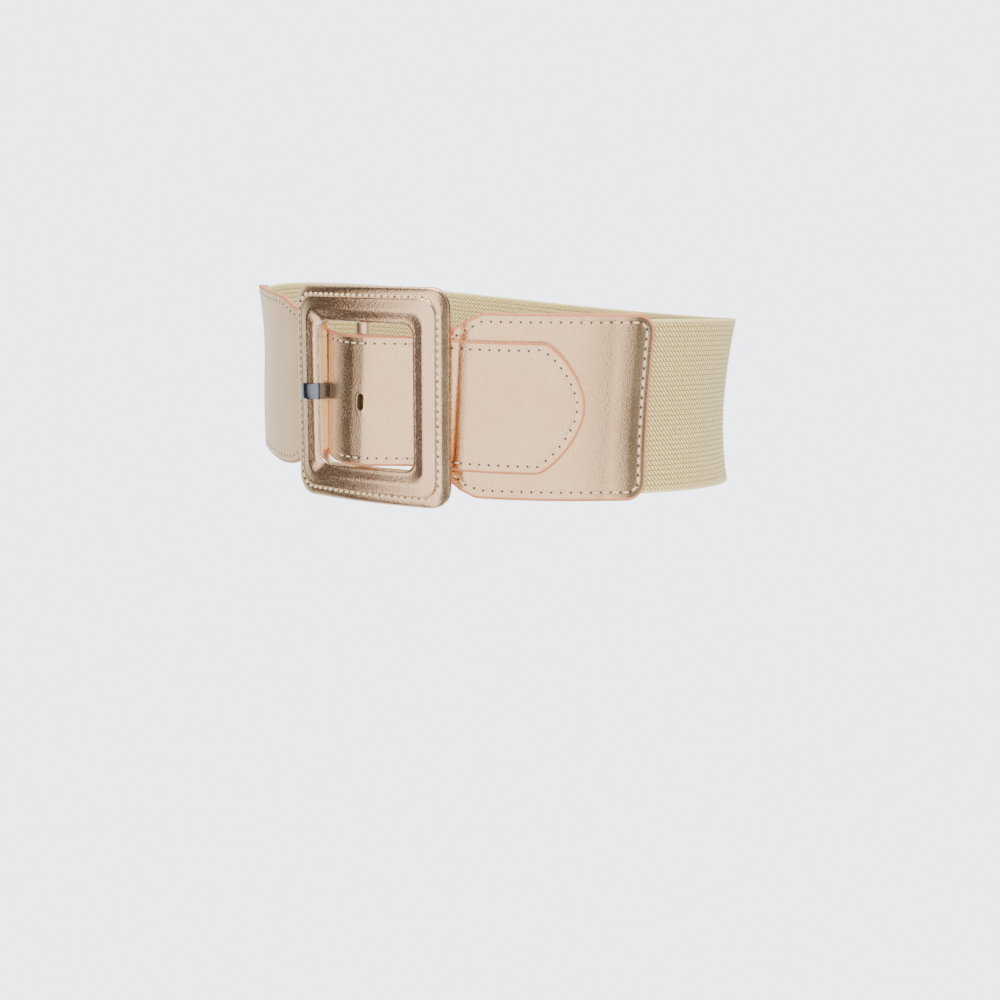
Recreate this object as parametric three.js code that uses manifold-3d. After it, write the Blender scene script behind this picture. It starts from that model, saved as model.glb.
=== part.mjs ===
// Wide elastic stretch belt, closed as it is worn: a ribbed elastic band round the sides and back,
// two metallic faux leather panels in front, and a padded centre-bar buckle with one flat prong.
// Millimetres, +Z up, the buckle faces -Y. The origin is the middle of the waist opening, half way
// up the band.

import * as THREE from 'three';
import { mergeVertices } from 'three/addons/utils/BufferGeometryUtils.js';
import Module from 'manifold-3d';

const wasm = await Module();
wasm.setup();

// Driving dimensions.

const WAIST_WIDTH = 224; // side to side over the elastic's outer face
const WAIST_DEPTH = 160; // front to back over the elastic's outer face
const PANEL_HEIGHT = 75;
const ELASTIC_HEIGHT = 70;
const ELASTIC_THICK = 1.6;
const PANEL_REACH = 113.7; // from the buckle's middle round to a panel's far end
const PANEL_CORNER = 8; // corner radius of a panel's far end
const LAP = 12; // elastic's length inside a panel
const TONGUE_THICK = 2.2;
const TONGUE_REACH = 87; // from the buckle's middle round to the tongue's tip
const TONGUE_NOSE = 18; // length of the rounded end
const EDGE = 0.8; // rounding of a leather edge
const CLEAR = 0.3; // fit between pieces that touch
const POCKET_CLEAR = 0.4; // room round the elastic inside a panel

const FRAME_WIDTH = 76.2;
const FRAME_HEIGHT = 88.8;
const FRAME_CORNER = 7.8; // outer corner radius
const WINDOW_CORNER = 4.5;
const RAIL_WIDTH = 14.8;
const RAIL_THICK = 7.0; // at the padded crest
const FRAME_CURVE = 157; // radius of the frame's back, round the body
const FRAME_STAND = 5.3; // frame's back in front of the elastic's outer face
const FRAME_SIDE = -2.1; // frame's middle along X
const FRAME_RAISE = -0.4; // frame's middle along Z
const FRAME_LEAN = 1.25; // degrees, top outward
const FRAME_ROLL = 2.5; // degrees, viewer's right side up

const BAR_WIDTH = 6.0;
const BAR_THICK = 3.0;
const BAR_ROUND = 1.2;
const BAR_SIDE = -3.5; // bar's middle along the frame
const BAR_OUT = -0.4; // bar's middle in front of the frame's back
const PRONG_WIDTH = 6.6;
const PRONG_THICK = 1.1;
const PRONG_RAISE = 0.3;
const HOLE_WIDTH = 3.0;
const HOLE_HEIGHT = 7.0;
const HOLE_RUN = -0.054 * (FRAME_WIDTH / 2); // the free hole's middle, left of the buckle's middle
const HOLE_RAISE = -0.7;
const PRONG_HOLE_WIDTH = 4.4;
const PRONG_HOLE_HEIGHT = PRONG_WIDTH + 2 * CLEAR;
const PRONG_HOLE_SET = 0.11; // hole's middle to the right of the prong's upright stretch

// How the band stands round the waist. top and foot are how far each edge leans out, and lift is how
// far the belt line rises, all as shares of PANEL_HEIGHT.
const WAIST = [
  { place: 'right side', turn: 0, top: 0.029, foot: 0.055, lift: 0.031 },
  { place: 'back', turn: 90, top: 0.066, foot: 0.044, lift: -0.031 },
  { place: 'left side', turn: 180, top: 0.066, foot: -0.006, lift: 0.031 },
  { place: 'front', turn: 270, top: 0.015, foot: -0.014, lift: -0.031 },
];
const WAIST_SWAY = -0.0116; // belt line's skew between the quarters, a share of PANEL_HEIGHT

// Panel and tongue, from the left panel's far end to the tongue's tip. at is 1 at the frame's side,
// half FRAME_WIDTH from the middle, and 2 at PANEL_REACH. out is a share of FRAME_STAND to the outer
// face, thick a share of TONGUE_THICK, and top and foot are shares of half PANEL_HEIGHT.
const TONGUE = [
  { at: -2.000, out: 0.270, thick: 2.00, top: 1.000, foot: 1.000 },
  { at: -1.947, out: 0.270, thick: 2.00, top: 1.000, foot: 1.000 },
  { at: -1.895, out: 0.330, thick: 2.10, top: 1.000, foot: 1.000 },
  { at: -1.835, out: 0.300, thick: 2.00, top: 1.000, foot: 1.000 },
  { at: -1.774, out: 0.230, thick: 1.75, top: 1.000, foot: 1.000 },
  { at: -1.699, out: 0.230, thick: 1.25, top: 1.000, foot: 1.000 },
  { at: -1.428, out: 0.240, thick: 1.20, top: 1.000, foot: 1.000 },
  { at: -1.338, out: 0.260, thick: 1.20, top: 0.985, foot: 0.985 },
  { at: -1.278, out: 0.300, thick: 1.20, top: 0.950, foot: 0.965 },
  { at: -1.188, out: 0.380, thick: 1.15, top: 0.900, foot: 0.910 },
  { at: -1.022, out: 0.580, thick: 1.10, top: 0.800, foot: 0.770 },
  { at: -0.836, out: 0.730, thick: 1.00, top: 0.745, foot: 0.670 },
  { at: -0.674, out: 0.790, thick: 1.00, top: 0.725, foot: 0.612 },
  { at: -0.621, out: 1.020, thick: 1.00, top: 0.722, foot: 0.640 },
  { at: -0.567, out: 1.370, thick: 1.00, top: 0.718, foot: 0.680 },
  { at: -0.492, out: 1.600, thick: 1.00, top: 0.712, foot: 0.710 },
  { at: -0.388, out: 1.840, thick: 1.00, top: 0.707, foot: 0.724 },
  { at: -0.263, out: 2.030, thick: 1.00, top: 0.704, foot: 0.728 },
  { at: -0.149, out: 2.120, thick: 1.00, top: 0.705, foot: 0.727 },
  { at: -0.045, out: 2.120, thick: 1.00, top: 0.708, foot: 0.722 },
  { at: 0.060, out: 2.010, thick: 1.00, top: 0.713, foot: 0.715 },
  { at: 0.209, out: 1.700, thick: 1.00, top: 0.720, foot: 0.703 },
  { at: 0.358, out: 1.250, thick: 1.00, top: 0.725, foot: 0.695 },
  { at: 0.469, out: 0.890, thick: 1.00, top: 0.724, foot: 0.692 },
  { at: 0.552, out: 0.800, thick: 1.00, top: 0.720, foot: 0.692 },
  { at: 0.716, out: 0.770, thick: 1.00, top: 0.710, foot: 0.694 },
  { at: 1.098, out: 0.820, thick: 1.00, top: 0.700, foot: 0.703 },
  { at: 1.647, out: 0.820, thick: 1.00, top: 0.696, foot: 0.706 },
];

// Rounded end of the tongue: how high it still is along its length.
const NOSE = [
  { along: 0.00, high: 1.000 },
  { along: 0.14, high: 0.975 },
  { along: 0.28, high: 0.910 },
  { along: 0.42, high: 0.825 },
  { along: 0.56, high: 0.715 },
  { along: 0.70, high: 0.585 },
  { along: 0.83, high: 0.435 },
  { along: 0.93, high: 0.270 },
  { along: 0.98, high: 0.150 },
  { along: 1.00, high: 0.060 },
];

// Right panel, from the fold round the bar to its far end. out and in are shares of FRAME_STAND to
// the outer and inner faces.
const BAR_PANEL = [
  { at: -0.269, out: 1.200, in: 0.640, half: 0.653 },
  { at: -0.251, out: 1.420, in: 0.440, half: 0.653 },
  { at: -0.215, out: 1.510, in: 0.350, half: 0.653 },
  { at: -0.143, out: 1.520, in: 0.340, half: 0.653 },
  { at: -0.030, out: 1.500, in: 0.300, half: 0.653 },
  { at: 0.090, out: 1.370, in: 0.190, half: 0.653 },
  { at: 0.224, out: 1.090, in: 0.040, half: 0.653 },
  { at: 0.367, out: 0.700, in: -0.120, half: 0.656 },
  { at: 0.469, out: 0.400, in: -0.240, half: 0.666 },
  { at: 0.567, out: 0.290, in: -0.264, half: 0.690 },
  { at: 0.716, out: 0.280, in: -0.264, half: 0.765 },
  { at: 0.895, out: 0.280, in: -0.264, half: 0.855 },
  { at: 1.052, out: 0.300, in: -0.264, half: 0.960 },
  { at: 1.098, out: 0.290, in: -0.264, half: 0.997 },
  { at: 1.143, out: 0.280, in: -0.264, half: 1.000 },
  { at: 1.699, out: 0.230, in: -0.264, half: 1.000 },
  { at: 1.774, out: 0.230, in: -0.490, half: 1.000 },
  { at: 1.835, out: 0.300, in: -0.566, half: 1.000 },
  { at: 1.895, out: 0.330, in: -0.566, half: 1.000 },
  { at: 1.947, out: 0.270, in: -0.566, half: 1.000 },
  { at: 2.000, out: 0.270, in: -0.566, half: 1.000 },
];

// Section of the padded rail. inset runs from the outer edge to the window as a share of RAIL_WIDTH,
// and high is a share of RAIL_THICK above the frame's back.
const RAIL = [
  { inset: 0.040, high: 0.000 },
  { inset: 0.000, high: 0.090 },
  { inset: 0.000, high: 0.420 },
  { inset: 0.030, high: 0.570 },
  { inset: 0.110, high: 0.665 },
  { inset: 0.215, high: 0.690 },
  { inset: 0.300, high: 0.690 },
  { inset: 0.390, high: 0.790 },
  { inset: 0.590, high: 0.985 },
  { inset: 0.650, high: 1.000 },
  { inset: 0.710, high: 0.970 },
  { inset: 0.880, high: 0.860 },
  { inset: 0.960, high: 0.800 },
  { inset: 1.000, high: 0.650 },
  { inset: 1.000, high: 0.090 },
  { inset: 0.965, high: 0.000 },
];

// Middle line of the prong from its tip to the bar. along is a share of half FRAME_WIDTH from the
// frame's middle, high a share of RAIL_THICK above the frame's back.
const PRONG = [
  { place: 'tip', along: -0.845, high: 0.950 },
  { place: 'tip', along: -0.810, high: 1.030 },
  { place: 'bend', along: -0.775, high: 1.110 },
  { place: 'crest', along: -0.745, high: 1.135 },
  { place: 'crest', along: -0.715, high: 1.120 },
  { place: 'slope', along: -0.665, high: 1.055 },
  { place: 'slope', along: -0.618, high: 0.965 },
  { place: 'lip', along: -0.596, high: 0.850 },
  { place: 'wall', along: -0.5895, high: 0.650 },
  { place: 'hole', along: -0.5895, high: 0.200 },
  { place: 'under', along: -0.587, high: -0.140 },
  { place: 'under', along: -0.565, high: -0.290 },
  { place: 'under', along: -0.530, high: -0.290 },
  { place: 'run', along: -0.450, high: -0.130 },
  { place: 'run', along: -0.320, high: 0.070 },
  { place: 'run', along: -0.240, high: 0.170 },
  { place: 'eye', along: -0.120, high: 0.230 },
];

// Value of a named column at a given key, on a smooth curve that never overshoots its rows.
function column(rows, key, name, at) {
  const xs = rows.map((row) => row[key]);
  const ys = rows.map((row) => row[name]);
  if (at <= xs[0]) {
    return ys[0];
  }
  if (at >= xs[xs.length - 1]) {
    return ys[ys.length - 1];
  }
  let i = 0;
  while (at > xs[i + 1]) {
    i += 1;
  }
  const rise = (k) => (ys[k + 1] - ys[k]) / (xs[k + 1] - xs[k]);
  const slope = (k) => {
    if (k === 0 || k === xs.length - 1) {
      return 0;
    }
    const before = rise(k - 1);
    const after = rise(k);
    return before * after <= 0 ? 0 : (2 * before * after) / (before + after);
  };
  const span = xs[i + 1] - xs[i];
  const f = (at - xs[i]) / span;
  const f2 = f * f;
  const f3 = f2 * f;
  return (
    ys[i] * (2 * f3 - 3 * f2 + 1) +
    ys[i + 1] * (3 * f2 - 2 * f3) +
    slope(i) * span * (f3 - 2 * f2 + f) +
    slope(i + 1) * span * (f3 - f2)
  );
}

// Place of a run in the panels' tables: 1 at the frame's side and 2 at a panel's far end.
const FRAME_HALF = FRAME_WIDTH / 2;
function place(run) {
  const far = Math.abs(run);
  const at = far <= FRAME_HALF ? far / FRAME_HALF : 1 + (far - FRAME_HALF) / (PANEL_REACH - FRAME_HALF);
  return Math.sign(run) * at;
}

// Run of a place in the panels' tables.
function runAt(at) {
  const far = Math.abs(at);
  const run = far <= 1 ? far * FRAME_HALF : FRAME_HALF + (far - 1) * (PANEL_REACH - FRAME_HALF);
  return Math.sign(at) * run;
}

// Smooth closed curve through the four quarters of the waist table.
function round(name, turn) {
  const [right, back, left, front] = WAIST.map((row) => row[name] * PANEL_HEIGHT);
  return (
    (right + back + left + front) / 4 +
    ((right - left) / 2) * Math.cos(turn) +
    ((back - front) / 2) * Math.sin(turn) +
    ((right + left - back - front) / 4) * Math.cos(2 * turn)
  );
}

// Length along the waist from the buckle's middle, tabled against the angle round the ellipse.
const ARC = [{ turn: -Math.PI / 2, run: 0 }];
for (let i = 1; i <= 1440; i += 1) {
  const turn = -Math.PI / 2 + (i * Math.PI) / 720;
  const last = ARC[i - 1];
  const dx = (Math.cos(turn) - Math.cos(last.turn)) * (WAIST_WIDTH / 2);
  const dy = (Math.sin(turn) - Math.sin(last.turn)) * (WAIST_DEPTH / 2);
  ARC.push({ turn, run: last.run + Math.hypot(dx, dy) });
}
const GIRTH = ARC[ARC.length - 1].run;

function turnAt(run) {
  const r = ((run % GIRTH) + GIRTH) % GIRTH;
  let low = 0;
  let high = ARC.length - 1;
  while (high - low > 1) {
    const mid = (low + high) >> 1;
    if (ARC[mid].run <= r) {
      low = mid;
    } else {
      high = mid;
    }
  }
  const f = (r - ARC[low].run) / (ARC[high].run - ARC[low].run);
  return ARC[low].turn + f * (ARC[high].turn - ARC[low].turn);
}

// Point on the band: run along the waist, height on the band, and distance out from the elastic's
// outer face.
function waist(run, height, out) {
  const turn = turnAt(run);
  const c = Math.cos(turn);
  const s = Math.sin(turn);
  const nx = c / (WAIST_WIDTH / 2);
  const ny = s / (WAIST_DEPTH / 2);
  const n = Math.hypot(nx, ny);
  const q = height / (PANEL_HEIGHT / 2);
  const lean = round(q > 0 ? 'top' : 'foot', turn) * q * q;
  const lift = round('lift', turn) + WAIST_SWAY * PANEL_HEIGHT * Math.sin(2 * turn);
  const d = out + lean;
  return new THREE.Vector3(
    (c * WAIST_WIDTH) / 2 + (nx / n) * d,
    (s * WAIST_DEPTH) / 2 + (ny / n) * d,
    height + lift,
  );
}

// Point on the buckle: along the frame's curve, up its height, and out from its back.
const LEAN = THREE.MathUtils.degToRad(FRAME_LEAN);
const ROLL = THREE.MathUtils.degToRad(FRAME_ROLL);
function buckle(along, up, out) {
  const a = along / FRAME_CURVE;
  const x0 = (FRAME_CURVE + out) * Math.sin(a);
  const deep = (FRAME_CURVE + out) * Math.cos(a) - FRAME_CURVE;
  const x = x0 * Math.cos(ROLL) - up * Math.sin(ROLL);
  const z = x0 * Math.sin(ROLL) + up * Math.cos(ROLL);
  const forward = WAIST_DEPTH / 2 + FRAME_STAND + deep * Math.cos(LEAN) + z * Math.sin(LEAN);
  return new THREE.Vector3(
    FRAME_SIDE + x,
    -forward,
    FRAME_RAISE + z * Math.cos(LEAN) - deep * Math.sin(LEAN),
  );
}

// Closed surface through rings of points. Each ring runs up the outer face and down the inner one,
// so that the end caps are quads between the two faces.
function loft(rings, cyclic) {
  const count = rings[0].length;
  const half = count / 2;
  const spots = rings.flat();
  const faces = [];
  const last = cyclic ? rings.length : rings.length - 1;
  for (let i = 0; i < last; i += 1) {
    const a = i * count;
    const b = ((i + 1) % rings.length) * count;
    for (let j = 0; j < count; j += 1) {
      const k = (j + 1) % count;
      faces.push(a + j, b + j, b + k, a + j, b + k, a + k);
    }
  }
  if (!cyclic) {
    const end = (rings.length - 1) * count;
    for (let j = 0; j < half - 1; j += 1) {
      const m = count - 1 - j;
      faces.push(j, j + 1, m - 1, j, m - 1, m);
      faces.push(end + j, end + m, end + m - 1, end + j, end + m - 1, end + j + 1);
    }
  }
  const geometry = new THREE.BufferGeometry();
  const flat = spots.flatMap((p) => [p.x, p.y, p.z]);
  geometry.setAttribute('position', new THREE.Float32BufferAttribute(flat, 3));
  geometry.setIndex(faces);
  return geometry;
}

// One ring of a slab on the band: rows share the height, and the extreme rows are the rounded edge.
const ROWS = [0, 0.17, 0.34, 0.5, 0.66, 0.83, 1];
function slabRing(run, top, foot, out, inner, edge) {
  const thick = out - inner;
  const e = Math.min(edge, thick * 0.42, (top - foot) * 0.3);
  const outside = [waist(run, foot, out - e)];
  const inside = [waist(run, foot, inner + e)];
  for (const share of ROWS) {
    const height = foot + e + (top - foot - 2 * e) * share;
    outside.push(waist(run, height, out));
    inside.push(waist(run, height, inner));
  }
  outside.push(waist(run, top, out - e));
  inside.push(waist(run, top, inner + e));
  return outside.concat(inside.reverse());
}

function solid(geometry) {
  const bare = geometry.clone();
  for (const name of Object.keys(bare.attributes)) {
    if (name !== 'position') {
      bare.deleteAttribute(name);
    }
  }
  const merged = mergeVertices(bare, 1e-4);
  return new wasm.Manifold(
    new wasm.Mesh({
      numProp: 3,
      vertProperties: new Float32Array(merged.attributes.position.array),
      triVerts: new Uint32Array(merged.index.array),
    }),
  );
}

function shell(manifold) {
  const mesh = manifold.getMesh();
  const geometry = new THREE.BufferGeometry();
  geometry.setAttribute('position', new THREE.BufferAttribute(mesh.vertProperties, 3));
  geometry.setIndex(new THREE.BufferAttribute(mesh.triVerts, 1));
  geometry.computeVertexNormals();
  return geometry;
}

function piece(name, geometry, look) {
  geometry.computeVertexNormals();
  const mesh = new THREE.Mesh(geometry, new THREE.MeshStandardMaterial(look));
  mesh.name = name;
  return mesh;
}

// Runs between two stations, with steps no longer than the given one.
function steps(from, to, step) {
  const n = Math.max(1, Math.ceil(Math.abs(to - from) / step));
  return Array.from({ length: n + 1 }, (_, i) => from + ((to - from) * i) / n);
}

// How much of a panel's height is left near its round-cornered far end.
function cornerCut(left) {
  if (left >= PANEL_CORNER) {
    return 0;
  }
  return PANEL_CORNER - Math.sqrt(PANEL_CORNER ** 2 - (PANEL_CORNER - left) ** 2);
}

// Prism of an outline in the buckle's plan, bent and tilted with the buckle.
function buckleSolid(outline, hole, low, high) {
  const shape = new THREE.Shape(outline);
  if (hole) {
    shape.holes.push(new THREE.Path(hole));
  }
  const geometry = new THREE.ExtrudeGeometry(shape, {
    depth: high - low,
    bevelEnabled: false,
    curveSegments: 8,
  });
  const spots = geometry.attributes.position;
  for (let i = 0; i < spots.count; i += 1) {
    const p = buckle(spots.getX(i), low + spots.getZ(i), spots.getY(i));
    spots.setXYZ(i, p.x, p.y, p.z);
  }
  return solidFlipped(geometry);
}

// The plan's second axis points out of the front, so a mapped prism is turned right side out.
function solidFlipped(geometry) {
  const bare = geometry.clone();
  bare.deleteAttribute('normal');
  bare.deleteAttribute('uv');
  const merged = mergeVertices(bare, 1e-4);
  const index = merged.index.array;
  for (let i = 0; i < index.length; i += 3) {
    const swap = index[i + 1];
    index[i + 1] = index[i + 2];
    index[i + 2] = swap;
  }
  return solid(merged);
}

function roundedBox(cx, cy, halfX, halfY, radius, segments) {
  const points = [];
  const corners = [
    [cx + halfX - radius, cy + halfY - radius, 0],
    [cx - halfX + radius, cy + halfY - radius, 1],
    [cx - halfX + radius, cy - halfY + radius, 2],
    [cx + halfX - radius, cy - halfY + radius, 3],
  ];
  for (const [x, y, quarter] of corners) {
    for (let i = 0; i <= segments; i += 1) {
      const a = ((quarter + i / segments) * Math.PI) / 2;
      points.push(new THREE.Vector2(x + radius * Math.cos(a), y + radius * Math.sin(a)));
    }
  }
  return points;
}

// Prism through the band at a given place: an oblong hole with round corners.
function holeCutter(run, height, width, tall, radius, deepIn, deepOut) {
  const shape = new THREE.Shape(roundedBox(0, 0, width / 2, tall / 2, radius, 5));
  const geometry = new THREE.ExtrudeGeometry(shape, {
    depth: deepOut - deepIn,
    bevelEnabled: false,
    curveSegments: 6,
  });
  const spots = geometry.attributes.position;
  for (let i = 0; i < spots.count; i += 1) {
    const p = waist(run + spots.getX(i), height + spots.getY(i), deepIn + spots.getZ(i));
    spots.setXYZ(i, p.x, p.y, p.z);
  }
  return solid(geometry);
}

// Elastic band: one woven band, and each end lies inside a panel.

const elasticFrom = PANEL_REACH - LAP;
const elasticRings = steps(elasticFrom, GIRTH - elasticFrom, 6.5).map((run) =>
  slabRing(run, ELASTIC_HEIGHT / 2, -ELASTIC_HEIGHT / 2, 0, -ELASTIC_THICK, 0.3),
);
const elasticBand = piece('elastic_band', loft(elasticRings, false), {
  color: 0xb29e76,
  roughness: 0.75,
  metalness: 0.2,
});

// Pocket in a panel's far end for the elastic.
function pocket(side) {
  const runs = steps(PANEL_REACH - LAP - POCKET_CLEAR, PANEL_REACH + 2, 3).map((run) => run * side);
  if (side < 0) {
    runs.reverse();
  }
  const half = ELASTIC_HEIGHT / 2 + POCKET_CLEAR;
  const inner = -ELASTIC_THICK - POCKET_CLEAR;
  const rings = runs.map((run) => slabRing(run, half, -half, POCKET_CLEAR, inner, 0));
  return solid(loft(rings, false));
}

// Left panel and tongue, one piece: the panel narrows, passes under the left rail, over the bar and
// the prong's foot, under the right rail, and ends in a round nose on the right panel.

const PANEL_END = PANEL_REACH - PANEL_CORNER;
const tongueRuns = [
  ...steps(0, PANEL_CORNER, 1.34).map((d) => -PANEL_REACH + d),
  ...steps(-PANEL_END, runAt(-0.72), 5.2).slice(1),
  ...steps(runAt(-0.72), runAt(0.6), 2.2).slice(1),
  ...steps(runAt(0.6), TONGUE_REACH - TONGUE_NOSE, 6).slice(1),
  ...NOSE.slice(1).map((row) => TONGUE_REACH - TONGUE_NOSE * (1 - row.along)),
];
const tongueRings = tongueRuns.map((run, i) => {
  const at = place(run);
  const half = PANEL_HEIGHT / 2;
  const nose = (run - (TONGUE_REACH - TONGUE_NOSE)) / TONGUE_NOSE;
  const high = nose > 0 ? column(NOSE, 'along', 'high', nose) : 1;
  const cut = cornerCut(run + PANEL_REACH);
  let out = column(TONGUE, 'at', 'out', at) * FRAME_STAND;
  let inner = out - column(TONGUE, 'at', 'thick', at) * TONGUE_THICK;
  if (i === 0 || i === tongueRuns.length - 1) {
    out -= EDGE / 2;
    inner += EDGE / 2;
  }
  const top = (column(TONGUE, 'at', 'top', at) * half - cut) * high;
  const foot = -(column(TONGUE, 'at', 'foot', at) * half - cut) * high;
  return slabRing(run, top, foot, out, inner, EDGE);
});
const lineAt = (run) => waist(run, 0, 0).z;
const prongRise = PRONG.find((row) => row.place === 'hole').along * (FRAME_WIDTH / 2);
const prongHoleRun = FRAME_SIDE + prongRise + PRONG_HOLE_SET;
const prongHoleHeight = buckle(prongRise, PRONG_RAISE, 0).z - lineAt(prongHoleRun);
const freeHole = holeCutter(HOLE_RUN, HOLE_RAISE, HOLE_WIDTH, HOLE_HEIGHT, HOLE_WIDTH * 0.49, 6, 14);
const prongHole = holeCutter(
  prongHoleRun,
  prongHoleHeight,
  PRONG_HOLE_WIDTH,
  PRONG_HOLE_HEIGHT,
  0.4,
  0,
  9,
);
const tonguePanel = piece(
  'tongue_panel',
  shell(
    solid(loft(tongueRings, false))
      .subtract(pocket(-1))
      .subtract(freeHole)
      .subtract(prongHole),
  ),
  { color: 0xd9c3a8, roughness: 0.35, metalness: 0.75 },
);

// Right panel. Its narrow end folds round the bar, with a slot for the prong's eye.

const barPanelRuns = [
  ...BAR_PANEL.slice(0, 4).map((row) => runAt(row.at)),
  ...steps(runAt(BAR_PANEL[3].at), runAt(0.75), 2.8).slice(1),
  ...steps(runAt(0.75), PANEL_END, 5.2).slice(1),
  ...steps(PANEL_CORNER, 0, 1.34).map((d) => PANEL_REACH - d).slice(1),
];
const barPanelRings = barPanelRuns.map((run, i) => {
  const at = place(run);
  const cut = cornerCut(PANEL_REACH - run);
  const half = (column(BAR_PANEL, 'at', 'half', at) * PANEL_HEIGHT) / 2 - cut;
  const ends = i === barPanelRuns.length - 1 ? EDGE / 2 : 0;
  const out = column(BAR_PANEL, 'at', 'out', at) * FRAME_STAND - ends;
  const inner = column(BAR_PANEL, 'at', 'in', at) * FRAME_STAND + ends;
  return slabRing(run, half, -half, out, inner, EDGE);
});
const barHole = roundedBox(
  BAR_SIDE,
  BAR_OUT,
  BAR_WIDTH / 2 + CLEAR,
  BAR_THICK / 2 + CLEAR,
  BAR_ROUND + CLEAR,
  4,
);
const eyeHalf = PRONG_WIDTH / 2 + CLEAR;
const slotOutline = roundedBox(
  BAR_SIDE - 3,
  BAR_OUT,
  BAR_WIDTH / 2 + PRONG_THICK + 2 * CLEAR + 3,
  8,
  1,
  2,
);
const barPanel = piece(
  'bar_panel',
  shell(
    solid(loft(barPanelRings, false))
      .subtract(pocket(1))
      .subtract(buckleSolid(barHole, null, -FRAME_HEIGHT / 2, FRAME_HEIGHT / 2))
      .subtract(buckleSolid(slotOutline, null, PRONG_RAISE - eyeHalf, PRONG_RAISE + eyeHalf)),
  ),
  { color: 0xd9c3a8, roughness: 0.35, metalness: 0.75 },
);

// Buckle frame: a stiff core covered in padded leather, curved round the body.

const SIDE_STEPS = 4;
const TOP_STEPS = 10;
function railRing(row) {
  const inset = row.inset * RAIL_WIDTH;
  const halfX = FRAME_WIDTH / 2 - inset;
  const halfZ = FRAME_HEIGHT / 2 - inset;
  const radius = FRAME_CORNER + (WINDOW_CORNER - FRAME_CORNER) * row.inset;
  const loop = roundedBox(0, 0, halfX, halfZ, radius, 6);
  const points = [];
  for (let i = 0; i < loop.length; i += 1) {
    points.push(loop[i]);
    const quarter = Math.floor(i / 7);
    if (i % 7 === 6) {
      const next = loop[(i + 1) % loop.length];
      const n = quarter % 2 === 0 ? TOP_STEPS : SIDE_STEPS;
      for (let k = 1; k < n; k += 1) {
        points.push(loop[i].clone().lerp(next, k / n));
      }
    }
  }
  return points.map((p) => [p.x, p.y, row.high * RAIL_THICK]);
}
const railLoops = RAIL.map(railRing);
const frameRings = railLoops[0].map((_, i) => railLoops.map((loop) => buckle(...loop[i])));
const buckleFrame = piece('buckle_frame', loft(frameRings, true), {
  color: 0xd9c3a8,
  roughness: 0.3,
  metalness: 0.75,
});

// Centre bar, from the top rail to the bottom one.
const windowHalf = FRAME_HEIGHT / 2 - RAIL_WIDTH - CLEAR;
const centreBar = piece(
  'centre_bar',
  shell(
    buckleSolid(
      roundedBox(BAR_SIDE, BAR_OUT, BAR_WIDTH / 2, BAR_THICK / 2, BAR_ROUND, 4),
      null,
      -windowHalf,
      windowHalf,
    ),
  ),
  { color: 0xcdb59c, roughness: 0.4, metalness: 0.7 },
);

// Prong: a flat strip of metal with an eye round the bar, rising through the tongue's hole over the
// left rail.

const line = PRONG.map(
  (row) => new THREE.Vector2((row.along * FRAME_WIDTH) / 2, row.high * RAIL_THICK),
);
const upper = [];
const lower = [];
line.forEach((p, i) => {
  const before = line[Math.max(0, i - 1)];
  const after = line[Math.min(line.length - 1, i + 1)];
  const t = after.clone().sub(before).normalize();
  const n = new THREE.Vector2(-t.y, t.x).multiplyScalar(PRONG_THICK / 2);
  upper.push(p.clone().add(n));
  lower.push(p.clone().sub(n));
});
const strip = lower.concat(upper.reverse());
const eyeOuter = roundedBox(
  BAR_SIDE,
  BAR_OUT,
  BAR_WIDTH / 2 + CLEAR + PRONG_THICK,
  BAR_THICK / 2 + CLEAR + PRONG_THICK,
  BAR_ROUND + CLEAR + PRONG_THICK,
  5,
);
const prongLow = PRONG_RAISE - PRONG_WIDTH / 2;
const prongHigh = PRONG_RAISE + PRONG_WIDTH / 2;
const prong = piece(
  'prong',
  shell(
    buckleSolid(strip, null, prongLow, prongHigh)
      .add(buckleSolid(eyeOuter, null, prongLow, prongHigh))
      .subtract(buckleSolid(barHole, null, prongLow - 1, prongHigh + 1)),
  ),
  { color: 0x9aa3b2, roughness: 0.25, metalness: 1.0 },
);

const group = new THREE.Group();
group.add(elasticBand, tonguePanel, barPanel, buckleFrame, centreBar, prong);
export default group;
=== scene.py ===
"""Elastic stretch belt, closed as it is worn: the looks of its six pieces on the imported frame.

Lengths are written in millimetres and turned into metres where a mesh gets its place. run is the
length round the waist from the middle of the buckle, height is the place across the belt, and out
is the distance in front of the elastic's outer face.
"""

import math

import bmesh
import bpy
import numpy as np
from mathutils import Matrix, Vector


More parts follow.
